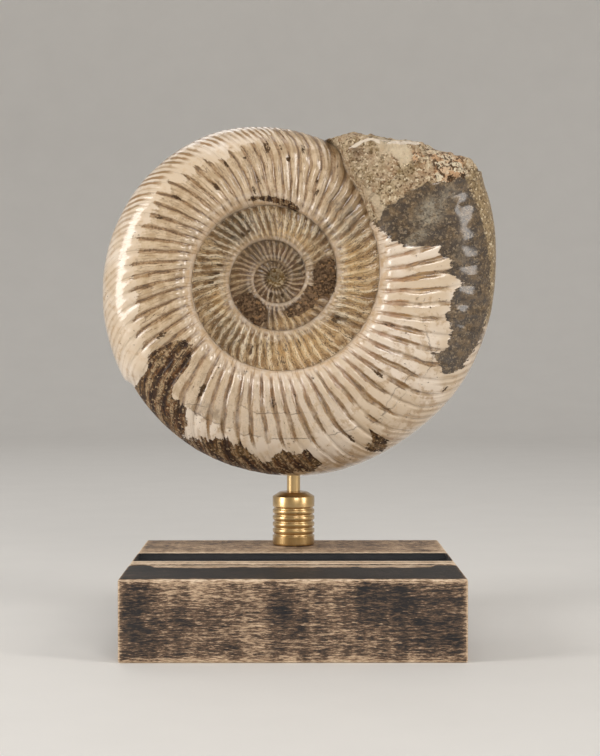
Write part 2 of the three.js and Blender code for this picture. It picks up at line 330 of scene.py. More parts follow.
def even_stations(first, last, rows, age):
    """Stations after the first whose points lie about evenly along the section."""
    fine = np.linspace(first, last, 200)
    steps = np.hypot(*(np.diff(column) for column in section(np.full(200, float(age)), fine)))
    length = np.concatenate([[0], np.cumsum(steps)])
    return np.interp(np.linspace(0, length[-1], rows + 1), length, fine)[1:]


def furrow(number, width):
    """1 in the middle of each furrow between two ribs, falling to 0 on the crests."""
    return np.exp(-(((number - np.floor(number) - 0.5) / width) ** 2))


def rock_share(age, spot):
    """1 on the bare rock of the broken end, 0 on the shell."""
    edge = BREAK_AGE + 2 + 7 * cloudy_noise(spot, 16, 3, 4)
    return rise(age, edge - 1.5, edge + 1.5)


def cast_share(age, spot):
    """1 on the smooth stone cast that lies bare before the broken end."""
    front = np.where(age > CAST_FRONT_AGE, inside_patch(STONE_MARGIN, *photo_polar(spot)), -FAR)
    return rise(np.where(spot[..., 1] < pin_y, front, (age - CAST_BACK_AGE) * 2), -3, 4)


def rib_relief(age, share, number, spot):
    """Height of ribs and furrows: narrow ridges on the inner whorls, broad ribs with grooves on the outer."""
    plateau, tall = along(PLATEAU, age), along(RIDGE_HEIGHT, age)
    pinch = rise(age, *PINCHED) * fall(share, 0.12 + 0.1 * chance(number, 16), 0.36)
    deep = along(RIB_GROOVE_DEPTH, age) * (1 + (0.3 + 1.1 * chance(number + 0.5, 17)) * pinch)
    grooves = -deep * (0.55 + 0.75 * chance(number, 1)) * furrow(number, along(RIB_GROOVE_WIDTH, age))
    patchy = 1 + 0.5 * lattice_noise(spot, 6, 14)
    ridges = tall * patchy * ((0.6 + 0.6 * chance(number + 0.5, 3)) * furrow(number + 0.5, 0.19) - 0.7)
    ridges += 0.45 * tall * chance(number, 4) * rise(chance(number, 15), 0.2, 0.5) * furrow(number, 0.1)
    fork = along(FORK_SHARE, age) + 0.08 * chance(number, 2)
    forked = rise(share, fork, fork + 0.14) * (age > OUTER_WHORL_AGE) * fall(age, 346, 356)
    fine = -along(FINE_DEPTH, age) * furrow(2 * number, 0.24)
    lines = 0.07 * (np.cos(6 * np.pi * number) - 1) * (1 - plateau)
    primary = plateau * grooves + (1 - plateau) * ridges
    shell = primary * (1 - along(FORK_FADING, age) * forked) + fine * forked + lines
    window = rise(share, 0.62, 0.76) * fall(share, 0.9, 0.98)
    waves = window * (np.cos(2 * np.pi * rib_number(age)) - 1) * (0.32 + 0.3 * lattice_noise(spot, 7, 17))
    cast = cast_share(age, spot)
    return shell * (1 - cast) + (waves - 0.25 + 0.35 * cloudy_noise(spot, 8, 3, 18)) * cast


def relief(age, station, number, spot):
    """Millimetres by which ribs, pits and lumps stand off the smooth section."""
    wall = 1 - rise(station, 128, 164) * rise(age, -800, -600)
    bare = fall(age, BREAK_AGE - 4, BREAK_AGE + 3)
    calm = rise(age, FIRST_AGE, -1000) * fall(station, 168, 178)
    swell = 0.3 * cloudy_noise(spot, 20, 3, 11)
    inner = 0.12 * fall(age, 40, 110) * cloudy_noise(spot, 2.6, 2, 13)
    rock = rock_share(age, spot) * fall(age, LAST_AGE - 5, LAST_AGE)
    lumps = 1.7 * cloudy_noise(spot, 15, 2, 21) - 3.2 * np.abs(cloudy_noise(spot, 7, 3, 31)) + 0.7
    lumps += 1.1 * lattice_noise(spot, 3.2, 32)
    ribs = rib_relief(age, share_at(age, station), number, spot) * wall * bare
    return calm * (ribs * (1 - 0.85 * smooth_patches(spot)) + swell + inner + rock * lumps)


def outward(age, station):
    """Direction off the smooth section, as parts along radius and depth."""
    ahead = section(age, np.minimum(station + 1.5, 180))
    behind = section(age, np.maximum(station - 1.5, 0))
    out = np.stack([ahead[1] - behind[1], behind[0] - ahead[0]], -1)
    out[station <= 0] = (1, 0)
    return np.moveaxis(out / (np.linalg.norm(out, axis=-1, keepdims=True) + 1e-9), -1, 0)


def held_depth(age, radius, depth, spot):
    """Depth filled by the stone of the innermost hollow and kept below the greatest."""
    boss = BOSS_DEPTH + 0.3 * lattice_noise(spot, 1.3, 16) - BOSS_SLOPE * np.maximum(radius - BOSS_RADIUS, 0)
    depth = np.where(age < BOSS_LAST_AGE, np.maximum(depth, boss), depth)
    over = np.maximum(depth - (MOST_DEPTH - DEPTH_MARGIN), 0)
    return depth - over + DEPTH_MARGIN * (1 - np.exp(-over / DEPTH_MARGIN))


def coil_spot(age, radius, depth):
    """Point in millimetres at an age and a radius, and at a depth behind the pin's axis."""
    turned = np.radians(age)
    return np.stack([COIL_X + radius * np.cos(turned), pin_y + depth, COIL_Z + radius * np.sin(turned)], -1)


def sheet(rows, reverse=False):
    """Faces between neighbouring rows and columns of point numbers."""
    quads = np.stack([rows[:-1, :-1], rows[1:, :-1], rows[1:, 1:], rows[:-1, 1:]], -1).reshape(-1, 4)
    return quads[:, ::-1] if reverse else quads


def fan(centre, ring):
    """Triangles from a centre to each pair of points along a ring."""
    return [[centre, a, b] for a, b in zip(ring, ring[1:]) if a != b]


def keyed(points, keys):
    return [*zip(points, keys)]


class Shell:
    """Points, faces and painted values of the spiral surface while it is being made."""

    def __init__(self):
        self.points = []
        self.values = []
        self.sheets = []
        self.triangles = []
        self.count = 0

    def keep(self, spots, *facts):
        """Stores points with their age, station, rib number and side; returns their numbers."""
        self.points.append(spots.reshape(-1, 3))
        self.values.append(np.stack(np.broadcast_arrays(*facts), -1).reshape(-1, 4))
        shape = spots.shape[:-1]
        numbers = self.count + np.arange(math.prod(shape)).reshape(shape)
        self.count += numbers.size
        return numbers

    def add(self, start, station, side):
        """Adds points at start ages and stations; returns their numbers and their true ages."""
        start = start + 0 * station
        age = start + lean_at(start, station)
        radius, depth = section(age, station)
        spot = coil_spot(age, radius, side * depth)
        wander = along(BROAD_WANDER, age) * rise(np.abs(side * depth), 0, 8)
        number = rib_number(start) + wander * cloudy_noise(spot, 9, 2, 41)
        number = number + along(CLOSE_WANDER, age) * lattice_noise(spot, 4, 43)
        off, up = outward(age, station) * relief(age, station, number, spot)
        radius = radius + off
        depth = held_depth(age, radius, np.maximum(depth + up, 0) * (station > 0), spot)
        return self.keep(coil_spot(age, radius, side * depth), age, station, number, side), age

    def sew(self, left, right, reverse):
        """Fills the strip between two lines of (point, key) whose keys rise along both."""
        i = j = 0
        while i < len(left) - 1 or j < len(right) - 1:
            left_next = left[i + 1][1] if i < len(left) - 1 else math.inf
            right_next = right[j + 1][1] if j < len(right) - 1 else math.inf
            step_left = left_next <= right_next
            corners = [left[i][0], right[j][0], left[i + 1][0] if step_left else right[j + 1][0]]
            if len(set(corners)) == 3:
                self.triangles.append(corners[::-1] if reverse else corners)
            if step_left:
                i += 1
            else:
                j += 1

    def close_centre(self, loop, side):
        """Fans the innermost hollow shut from one point on the axis."""
        spot = np.array([COIL_X, pin_y + side * half_thickness(FIRST_AGE), COIL_Z])
        centre = int(self.keep(spot, FIRST_AGE, 90, 0, side))
        self.triangles += fan(centre, loop[::-1] if side > 0 else loop)


def opening_age():
    """Start age of the column whose rib reaches the rim exactly where the coil opens."""
    age = np.array([float(OPEN_AGE)])
    for _ in range(6):
        age = OPEN_AGE - lean_at(age, np.array([0.0]))
    return float(age[0])


def add_covered(shell, side, end):
    """Whorls whose rim the next one hides; returns their seam and hidden lines, last and first columns."""
    seam, hidden, columns = [], [], []
    ends = [start for start, *_ in SEGMENTS[1:]] + [end]
    for (first, density, outer_rows, inner_rows), last in zip(SEGMENTS, ends):
        starts = ages_between(first, last, density)
        cover = cover_station(starts)[:, None]
        outside = cover + (90 - cover) * np.linspace(0, 1, outer_rows + 1)
        inside = even_stations(90, 180, inner_rows, (first + last) / 2)
        stations = np.concatenate([outside, np.tile(inside, (len(starts), 1))], 1)
        numbers, ages = shell.add(starts[:, None], stations, side)
        shell.sheets.append(sheet(numbers, side > 0))
        columns += [keyed(numbers[0], stations[0]), keyed(numbers[-1], stations[-1])]
        seam += keyed(numbers[:, -1], ages[:, -1])
        hidden += keyed(numbers[:, 0], ages[:, 0] + 360)
    for left, right in zip(columns[1:-1:2], columns[2::2]):
        shell.sew(left, right, side > 0)
    return seam, hidden, columns[-1], [number for number, _ in columns[0]]


def add_side(shell, side, rim, starts):
    """One side of the coil, with the outermost whorl between the shared rim and the seam."""
    reverse = side > 0
    seam, hidden, last, first = add_covered(shell, side, float(starts[0]))
    rows = [even_stations(0, 90, OPEN_OUTER_ROWS, OPEN_SECTION_AGE),
            even_stations(90, 180, OPEN_INNER_ROWS, OPEN_SECTION_AGE)]
    stations = np.concatenate([[0], *rows])
    added, ages = shell.add(starts[:, None], np.tile(stations[1:], (len(starts), 1)), side)
    numbers = np.concatenate([rim[:, None], added], 1)
    shell.sheets.append(sheet(numbers, reverse))
    shell.sew(last, keyed(numbers[0], stations), reverse)
    shell.sew(keyed(numbers[-1], stations), [(rim[0], 0)], reverse)
    seam += [*keyed(numbers[:, -1], ages[:, -1]), (rim[0], LAST_AGE)]
    hidden.append((rim[0], LAST_AGE))
    joined = next(i for i, (_, key) in enumerate(seam) if key >= hidden[0][1])
    shell.sew(hidden, seam[joined:], reverse)
    shell.close_centre([number for number, _ in seam[: joined + 1]] + first, side)


def make_shell():
    """The whole closed surface, its points in millimetres."""
    shell = Shell()
    starts = ages_between(opening_age(), LAST_AGE - 0.7, OPEN_COLUMNS)
    rim, _ = shell.add(starts, np.zeros_like(starts), 0)
    for side in (-1, 1):
        add_side(shell, side, rim, starts)
    return shell


# Patches of the shell as the photograph shows them, as (angle, inner radius, outer radius) in its pixels
# about the middle of the coil, which is at this pixel. FAR stands for well inside or outside a patch
COIL_PIXEL = (276, 278)
BOSS_PIXELS = 10
RIM_BAND_PIXELS = 214
FAR = 20
FLANK_EDGE = [
    (60, 150), (86, 150), (100, 140), (112, 131), (119, 132), (121, 137), (124, 134), (134, 132), (138, 142),
    (141, 137), (144, 142), (149, 140), (157, 139), (165, 141), (185, 141), (195, 144), (210, 148),
    (226, 156), (262, 160), (285, 163), (295, 160), (305, 148), (315, 138), (330, 122), (345, 112),
    (390, 108),
]
FLANK_STRENGTH = [
    (60, 0.9), (200, 1), (236, 0.75), (262, 0.5), (300, 0.35), (330, 0.15), (390, 0.1),
]
DARK_TONGUE = [
    (210.5, 147, 149), (212, 116, 150), (214, 112, 153), (215.5, 112, 160), (217, 110, 171), (219, 108, 190),
    (221, 111, 190), (223, 116, 190), (225, 122, 190), (226, 142, 190), (227.5, 155, 190), (229, 159, 190),
    (231, 158, 190), (234, 160, 190), (236, 160, 190), (238, 168, 188), (240, 182, 190),
]
DARK_MARGIN = [
    (240, 184, 190), (243, 181, 191), (246, 176, 193), (248, 175.5, 195), (250, 171, 200), (251.5, 168, 200),
    (253, 166, 200), (255, 172, 200), (256.5, 172, 200), (258, 169.5, 200), (259.5, 174, 200),
    (261, 175, 200), (264, 181, 200), (265.5, 184, 200), (267.5, 185, 200), (269, 179, 197.5),
    (271, 174, 196.5), (273, 172, 196), (275, 175, 195), (277, 178, 195), (279.5, 175, 195.5),
    (281, 177, 196), (282, 184, 195), (283.3, 187, 189),
]
DARK_SPECKS = [
    (298, 193, 194), (299, 189, 198), (300.5, 190, 199), (301.5, 180, 204), (302.5, 182, 203),
    (304, 193, 196),
]
STONE_MARGIN = [
    (330.5, 193, 195), (332.5, 184, 203), (334, 172.5, 206), (335.5, 178, 207), (337.5, 183, 209),
    (340, 184, 211), (344, 183.5, 214), (347.5, 174, 215), (349, 174, 217), (351, 177, 240), (355, 178, 240),
    (357, 184, 240), (359, 186, 240), (361, 178, 240), (362, 163, 240), (363, 176, 240), (366, 176, 240),
    (367, 170, 240), (369, 163, 240), (371, 168, 240), (372.2, 150, 240), (372.8, 138, 240), (374, 133, 240),
    (376, 130, 240), (378, 121, 240), (381, 119, 240), (400, 100, 240),
]
CRACK_BAND = [
    (71, 70, 73.5), (75, 70, 76), (80, 71.5, 78), (85, 73, 79), (90, 75, 81), (95, 77, 82.5), (100, 79, 83.5),
    (105, 81, 84.5), (108, 81, 84.5), (110, 82, 83),
]
BROKEN_PATCHES = [
    [(340, 44, 52), (346, 38, 59), (360, 37, 60), (376, 38, 61), (381, 44, 58)],
    [(283, 34, 38), (290, 31, 43), (320, 31, 46), (346, 33, 50)],
    [(206, 34, 40), (212, 28, 46), (240, 28, 50), (252, 30, 51), (256, 40, 44)],
]
SHELL_LIP = [
    (59.6, 152.2), (58.2, 159.4), (56.9, 164.9), (55.3, 168.5), (53.2, 170.4), (51, 174.8), (49, 179.8),
    (47.1, 185), (45.1, 191.4), (43.5, 196),
]

# Depths behind the pin's axis between which the front's patches give way to the back's, and the lip ends
TURN_OF_RIM = (-1, 6)
LIP_DEPTH = (-22.5, -18)

# Ages at which the outer whorl starts, and the bare stone on the front and on the back
OUTER_WHORL_AGE = 20
CAST_FRONT_AGE = 300
CAST_BACK_AGE = 364

# Ages, stations and shares of the whorl's height between which looks change
OLDEST = (-420, -300)
INNER_END = (24, 62)
PINCHED = (190, 240)
SHOULDER = (0.14, 0.34)
WALL_AGES = (-760, -560)
WALL_STATIONS = (118, 150)
CREASE_STATIONS = (158, 174)
SEAM_STATION = 112
SEAM_STATIONS = 8

# Strength of the brown stain in the furrows by age, and of the marks on the rim by angle
STAINED = [(100, 0.6), (225, 0.7), (240, 1), (310, 1), (345, 0.85)]
RIM_MARKED = [(60, 0.7), (80, 1), (150, 1), (168, 0.2), (215, 0.2), (300, 0.45), (340, 0.3)]

# Blotches of a colour: how soft, then angle, radius, half sizes in degrees and pixels, and strength of each.
# All lean by this much
BLOTCH_LEAN = 0.07
BLOTCHES = {
    "murk": [
        0.9, (52, 70, 16, 9, 0.45), (129, 65, 23, 17, 1), (229, 74, 17, 15, 0.5), (43, 93, 16, 17, 0.85),
        (328, 75, 6, 11, 0.9), (35, 29, 26, 8, 0.9), (99, 56, 5, 13, 0.7), (179, 62, 7, 7, 0.6),
        (245, 148, 7, 8, 0.8), (280, 20, 60, 4, 0.8), (197, 30, 12, 6, 0.5), (90, 20, 40, 4, 0.5),
        (213, 134, 8, 16, 0.35), (15, 24, 20, 6, 0.7), (45, 70, 13, 12, 1), (57.8, 150, 3.5, 5, 0.9),
    ],
    "gold": [
        0.9, (278, 47, 24, 6, 0.9), (292, 76, 36, 20, 1), (201, 61, 13, 9, 0.7), (82, 44, 48, 6, 1),
        (150, 46, 26, 4, 0.7), (72, 84, 14, 7, 0.6), (5, 82, 22, 22, 1), (48, 84, 10, 8, 0.9),
        (345, 84, 16, 12, 0.7), (255, 98, 30, 9, 0.5), (300, 112, 30, 12, 0.4), (300, 44, 40, 12, 1),
        (180, 40, 20, 7, 0.5), (355, 130, 20, 24, 0.9),
    ],
    "pitted": [
        0.7, (31.5, 204, 6.5, 19, 1), (38, 205, 5, 10, 0.9), (39, 184, 5, 12, 0.45),
    ],
    "pale": [
        0.5, (45.5, 178, 4.5, 9, 1), (50.5, 171, 4, 7, 0.7), (35, 126, 11, 7, 0.6), (30, 152, 4, 12, 0.3),
        (45, 160, 9, 10, 0.35),
    ],
    "blue": [
        0.9, (23, 166, 5, 20, 1), (16, 148, 2.6, 15, 0.9), (8, 186, 5, 9, 0.3), (26, 190, 3, 12, 0.6),
    ],
    # Tarnish, partly painted shade on the lower right where the rim and flank turn downward
    "tarnish_and_shade": [
        0.9, (306, 194, 9, 14, 0.9), (290, 194, 8, 10, 0.8), (320, 193, 6, 12, 0.7), (332, 188, 5, 12, 0.6),
        (240, 130, 8, 18, 0.8), (232, 118, 5, 12, 0.7), (262, 130, 10, 16, 0.5), (283, 134, 12, 16, 0.5),
        (245, 160, 5, 12, 0.7), (312, 122, 8, 10, 0.6), (335, 128, 7, 12, 0.6), (350, 124, 4, 10, 0.4),
        (205, 170, 5, 6, 0.5), (118, 168, 12, 6, 0.6), (70, 150, 10, 18, 0.5), (350, 120, 5, 12, 0.5),
        (325, 150, 18, 30, 0.55), (345, 165, 12, 20, 0.5), (300, 150, 14, 20, 0.4),
    ],
    "spot": [
        0.7, (123.3, 109, 1.4, 4, 1), (94, 131, 1.4, 6.5, 0.8), (78, 132, 0.9, 6, 0.6),
        (84, 120.5, 1.3, 3, 0.7), (88, 132, 1.1, 2.2, 0.5), (113.8, 125, 1.1, 2.8, 0.7),
        (104.5, 124.5, 0.9, 1.8, 0.7), (141, 127, 1, 7, 0.6), (152.6, 132.5, 1.1, 4.5, 0.6),
        (104, 90, 1, 6, 0.6), (236.7, 134, 1.3, 7.5, 0.9), (237.3, 105, 1.4, 2.8, 0.5),
        (252.2, 98.5, 1.5, 2.6, 0.5), (268.7, 122, 1, 8, 0.6), (295.2, 178, 0.7, 7, 0.8),
        (316.8, 141.5, 0.8, 6, 0.8), (351.7, 141.5, 1.9, 1.6, 1), (326.5, 203, 1.1, 1.6, 0.7),
        (337.5, 123, 1, 8, 0.5), (206.5, 128, 1.5, 7, 0.6), (279, 118.5, 0.9, 1.8, 0.6),
        (290, 107, 1.1, 2.4, 0.4), (64.5, 95, 1.2, 5, 0.7), (327, 74, 1.6, 3, 0.9), (233.5, 167, 1, 6, 0.8),
        (12, 132.5, 1.2, 1.8, 0.9), (67.3, 107, 0.8, 3.5, 0.6), (100, 98, 0.7, 7, 0.5), (251, 77, 1.2, 5, 1),
        (324, 71, 1.8, 2.5, 1), (120, 55, 2.5, 2, 1), (127.5, 54, 2, 2, 1), (255, 18, 7, 3, 0.8),
        (272, 18.5, 5, 2.5, 0.8), (290, 18.5, 6, 3, 0.9), (184, 65, 1.5, 4, 0.8), (167, 57, 1.2, 4.5, 0.9),
        (290, 68, 0.8, 5, 0.7), (175.5, 60, 1.4, 4, 0.8), (28.5, 213, 0.7, 2.5, 0.9),
        (30, 200, 0.8, 2.5, 0.8), (34.5, 197, 0.8, 2.5, 0.8),
    ],
}

# Thin cracks, as lines through (angle, radius) points
CRACKS = [
    [(238, 157), (247, 157.5), (251, 156), (257, 160), (270, 161), (280, 163), (288, 166), (294, 168.5),
     (298, 170), (304, 175), (312, 174), (318, 173), (324, 177), (331, 179), (336, 176)],
    [(246, 143), (249, 138), (251, 135), (255, 132), (262, 136), (273, 136), (280, 138), (286, 141)],
    [(351.5, 149), (345.7, 149.6), (340.9, 158.8), (337, 166), (332.5, 177.8)],
    [(325, 168), (316.7, 163), (310.5, 168), (307, 176)],
    [(31, 112), (28.5, 122), (26.6, 130), (23.1, 135), (20.6, 143), (20.2, 153), (21.5, 163), (24.5, 172)],
    [(27, 196), (28.5, 205), (28, 214), (26, 220)],
    [(246, 143), (238, 150), (233, 158)],
]


def camera_axes():
    """Eye point in millimetres and the camera's right, up and forward directions."""
    yaw, pitch = math.radians(YAW), math.radians(PITCH)
    eye = np.array([EYE_X, base_low[1] - EYE_DISTANCE, EYE_HEIGHT])
    ahead = np.array([math.sin(yaw) * math.cos(pitch), math.cos(yaw) * math.cos(pitch), -math.sin(pitch)])
    right = np.array([math.cos(yaw), -math.sin(yaw), 0])
    return eye, right, np.cross(right, ahead), ahead


EYE, RIGHT, UP, AHEAD = camera_axes()
RIB_COUNTS = rib_counts()


def photo_polar(points):
    """Angle and radius about the coil's middle at which the photograph shows each point, in its pixels."""
    offset = points - EYE
    distance = offset @ AHEAD
    x = PHOTO_WIDTH / 2 + FOCAL_PIXELS * (offset @ RIGHT) / distance - COIL_PIXEL[0]
    y = PHOTO_HEIGHT / 2 - FOCAL_PIXELS * (offset @ UP) / distance - COIL_PIXEL[1]
    return np.degrees(np.arctan2(-y, x)) % 360, np.hypot(x, y)


def inside_patch(rows, angle, radius):
    """Pixels by which a spot lies inside a patch; negative outside."""
    angles, inner, outer = np.array(rows, float).T
    turned = angle + np.where(angle < angles[0] - 20, 360, 0)
    past = np.radians(np.maximum(angles[0] - turned, turned - angles[-1])) * radius
    low, high = (np.interp(turned, angles, edge) for edge in (inner, outer))
    return np.minimum(np.minimum(radius - low, high - radius), -past)


def inside_any(patches, angle, radius):
    return np.max([inside_patch(rows, angle, radius) for rows in patches], axis=0)


def blotches(rows, angle, radius, soft):
    """Strength of scattered blotches, from 0 to 1, fading over a share of their size."""
    total = np.zeros(np.shape(radius))
    for at, out, wide, high, strength in rows:
        across = (angle - at + 180) % 360 - 180 - (radius - out) * BLOTCH_LEAN
        apart = np.hypot(across / wide, (radius - out) / high)
        total = np.maximum(total, strength * fall(apart, 1.2 - soft, 1.3))
    return total


def smooth_patches(spot):
    """1 where the front's inner whorls are broken down to rock without ribs."""
    return rise(inside_any(BROKEN_PATCHES, *photo_polar(spot)), -1, 2) * (spot[..., 1] < pin_y)


def flat_spot(angle, radius):
    turned = np.radians(angle)
    return radius * np.cos(turned), radius * np.sin(turned)


def line_distance(lines, angle, radius):
    """Signed pixels from the nearest of some lines through (angle, radius) points, and nearness to it."""
    x, y = flat_spot(angle, radius)
    nearest = np.full(np.shape(radius), 99.0)
    signed = nearest.copy()
    for rows in lines:
        corners = [flat_spot(*row) for row in rows]
        for (ax, ay), (bx, by) in zip(corners, corners[1:]):
            wide, high = bx - ax, by - ay
            part = np.clip(((x - ax) * wide + (y - ay) * high) / (wide * wide + high * high), 0, 1)
            away = np.hypot(x - ax - part * wide, y - ay - part * high)
            side = np.sign(wide * (y - ay) - high * (x - ax))
            signed = np.where(away < nearest, away * side, signed)
            nearest = np.minimum(nearest, away)
    return signed, fall(nearest, 2.5, 4.5)


def jag(number, seed):
    """Pixels by which a patch reaches out along each furrow."""
    return 9 * furrow(number, 0.2) * chance(number, seed)


def front_patches(angle, radius, number, age):
    """Fields of the front that follow the photograph, in its pixels or from 0 to 1."""
    whorl = age > OUTER_WHORL_AGE
    turned = angle + np.where(angle < 30, 360, 0)
    dark = inside_any([DARK_TONGUE, DARK_MARGIN, DARK_SPECKS], angle, radius)
    crumb = np.maximum(inside_any(BROKEN_PATCHES, angle, radius), BOSS_PIXELS - radius)
    crack, crack_near = line_distance(CRACKS, angle, radius)
    lip, lip_near = line_distance([SHELL_LIP], angle, radius)
    fields = {name: blotches(rows, angle, radius, soft) for name, (soft, *rows) in BLOTCHES.items()}
    fields["murk"] += 0.9 * fall(radius, 7, 13)
    return fields | {
        "flank": np.where(whorl, along(FLANK_EDGE, turned) + jag(number, 5) - 2 - radius, FAR),
        "flank_strength": along(FLANK_STRENGTH, turned),
        "dark": np.maximum(np.where(whorl, dark, -FAR), 2.5 * inside_patch(CRACK_BAND, angle, radius)),
        "crumb": np.where(whorl, -FAR, crumb),
        "stone": np.where(age > CAST_FRONT_AGE, inside_patch(STONE_MARGIN, angle, radius), -FAR),
        "lip": lip,
        "lip_near": lip_near,
        "crack": crack,
        "crack_near": crack_near * whorl,
    }


def back_patches(points, share, number, age):
    """Fields of the back, which no picture shows: patches of the same kinds, placed by noise."""
    broad = cloudy_noise(points, 46, 3, 51)
    middle = cloudy_noise(points, 24, 3, 61)
    small = cloudy_noise(points, 14, 2, 71)
    reach = jag(number, 6)
    return {
        "flank": (0.62 - share) * 90 + reach + 20 * broad,
        "flank_strength": 0.6 + 0.5 * broad,
        "dark": (middle - 0.42) * 60 + reach,
        "crumb": np.where(age < OUTER_WHORL_AGE, (small - 0.5) * 40, -FAR),
        "stone": (age - CAST_BACK_AGE - 10 * small - 5 * furrow(number, 0.2)) * 2,
        "murk": rise(broad, 0.1, 0.4),
        "gold": rise(middle, 0.05, 0.4),
        "pitted": rise(small, 0.15, 0.5),
        "pale": rise(-middle, 0.25, 0.4),
        "blue": rise(-small, 0.1, 0.4),
        "tarnish_and_shade": rise(-broad, 0.2, 0.5),
        "lip": FAR + 0 * share,
        "lip_near": 0 * share,
        "spot": rise(lattice_noise(points, 5, 81), 0.86, 0.95),
        "crack": lattice_noise(points, 60, 91) * 160,
        "crack_near": rise(share, 0.3, 0.4) * (age > 60),
    }


def both_sides(points, share, angle, radius, facts):
    """Fields of the front and the back, blended over the rim."""
    age, _, number, side = facts.T
    front = front_patches(angle, radius, number, age)
    back = back_patches(points, share, number, age)
    depth = points[:, 1] - pin_y
    for name in ("lip", "crack"):
        front[name] = back[name] = np.where(side > 0, back[name], front[name])
    front["lip_near"] *= fall(depth, *LIP_DEPTH)
    behind = rise(depth + 5 * cloudy_noise(points, 9, 3, 111), *TURN_OF_RIM)
    return {name: front[name] + (back[name] - front[name]) * behind for name in front}


def stain_length(share, number, stained):
    """Reach of the brown stain in each furrow, longer where the shell is stained most."""
    low = 0.12 + 0.14 * chance(number, 7)
    high = 0.5 + 0.35 * chance(number, 8) + 0.15 * (stained > 0.9)
    return rise(share, low - 0.06, low + 0.02) * fall(share, low + 0.15, high)


def paint_values(points, facts):
    """Values from which the shell's material is mixed, one for each point."""
    age, station, number, side = facts.T
    share = share_at(age, station)
    angle, radius = photo_polar(points)
    values = both_sides(points, share, angle, radius, facts)
    stained = along(STAINED, age)
    marked = along(RIM_MARKED, angle) * rise(chance(2 * number, 10), 0.1, 0.45)
    values.update({
        "rib": number,
        "share": share,
        "inner": fall(age + 20 * share, *INNER_END),
        "old": fall(age, *OLDEST),
        "crease": rise(station, *CREASE_STATIONS),
        "wall": rise(station, *WALL_STATIONS) * rise(age, *WALL_AGES) * (values["crumb"] < 0),
        "seam": np.exp(-(((station - SEAM_STATION) / SEAM_STATIONS) ** 2)),
        "shoulder": fall(share, *SHOULDER) * rise(age, *PINCHED),
        "rock": rock_share(age, points),
        "stain": stain_length(share, number, stained) * stained * (0.55 + 0.45 * chance(number, 9)),
        "rim_stain": marked * rise(share, 0.77, 0.85),
        "lines": rise(share, 0.74, 0.84) * (age > OUTER_WHORL_AGE),
        "rim_band": np.where(side <= 0, radius - RIM_BAND_PIXELS, (share - 0.9) * 100),
    })
    return values


def new_object(name, points, sheets, faces, values=None):
    """A smooth mesh object from points in metres, faces and values for each point."""
    faces = [[*map(int, face)] for face in itertools.chain(*sheets, faces)]
    mesh = bpy.data.meshes.new(name)
    mesh.from_pydata(np.asarray(points, float).tolist(), [], faces)
    mesh.update()
    mesh.polygons.foreach_set("use_smooth", np.ones(len(mesh.polygons), bool))
    for label, column in (values or {}).items():
        mesh.attributes.new(label, "FLOAT", "POINT").data.foreach_set("value", np.asarray(column, np.float32))
    return in_scene(name, mesh)


def in_scene(name, data):
    made = bpy.data.objects.new(name, data)
    bpy.context.scene.collection.objects.link(made)
    return made


# Range over which a noise mostly varies, raggedness of grains, hold of the block's paint, and how far the
# grain of its wood is drawn out along each axis
NOISE_LOW = 0.3
NOISE_HIGH = 0.7
GRAIN_WARP = 1.2
PAINT_HOLD = 1.015
WOOD_GRAIN = (7, 1.5, 1)


class Field:
    """A number or a colour that varies over a surface: the output of a node."""

    def __init__(self, graph, socket):
        self.graph = graph
        self.socket = socket

    def __mul__(self, other):
        return self.graph.math("MULTIPLY", self, other)

    def __add__(self, other):
        return self.graph.math("ADD", self, other)

    def __sub__(self, other):
        return self.graph.math("SUBTRACT", self, other)

    def __or__(self, other):
        """The larger of the two."""
        return self.graph.math("MAXIMUM", self, other)

    def __abs__(self):
        return self.graph.math("ABSOLUTE", self)

    def scale(self, factor, offset):
        return self.graph.math("MULTIPLY_ADD", self, factor, offset)

    def swing(self, reach):
        """Turns 0 to 1 into a swing of this reach about 0."""
        return self.scale(reach, -reach / 2)

    def less(self, part=1):
        """Falls from 1 by a part of the value."""
        return self.scale(-part, 1)

    def even(self):
        """Spreads a noise, which mostly lies near 0.5, over 0 to 1."""
        return self.graph.add("MapRange", 0, {"Value": self, "From Min": NOISE_LOW, "From Max": NOISE_HIGH})

    def step(self, low, high):
        """0 at low, 1 at high, smooth between; low may be the larger."""
        inputs = {"Value": self, "From Min": min(low, high), "From Max": max(low, high),
                  "To Min": float(low > high), "To Max": float(low < high)}
        return self.graph.add("MapRange", 0, inputs, interpolation_type="SMOOTHSTEP")

    def mix(self, a, b):
        """Colour a where the value is 0 and colour b where it is 1."""
        return self.graph.add("Mix", 2, {0: self, 6: a, 7: b}, data_type="RGBA")

    def blend(self, a, b):
        """Number a where the value is 0 and number b where it is 1."""
        return self.graph.add("Mix", 0, {0: self, 2: a, 3: b})


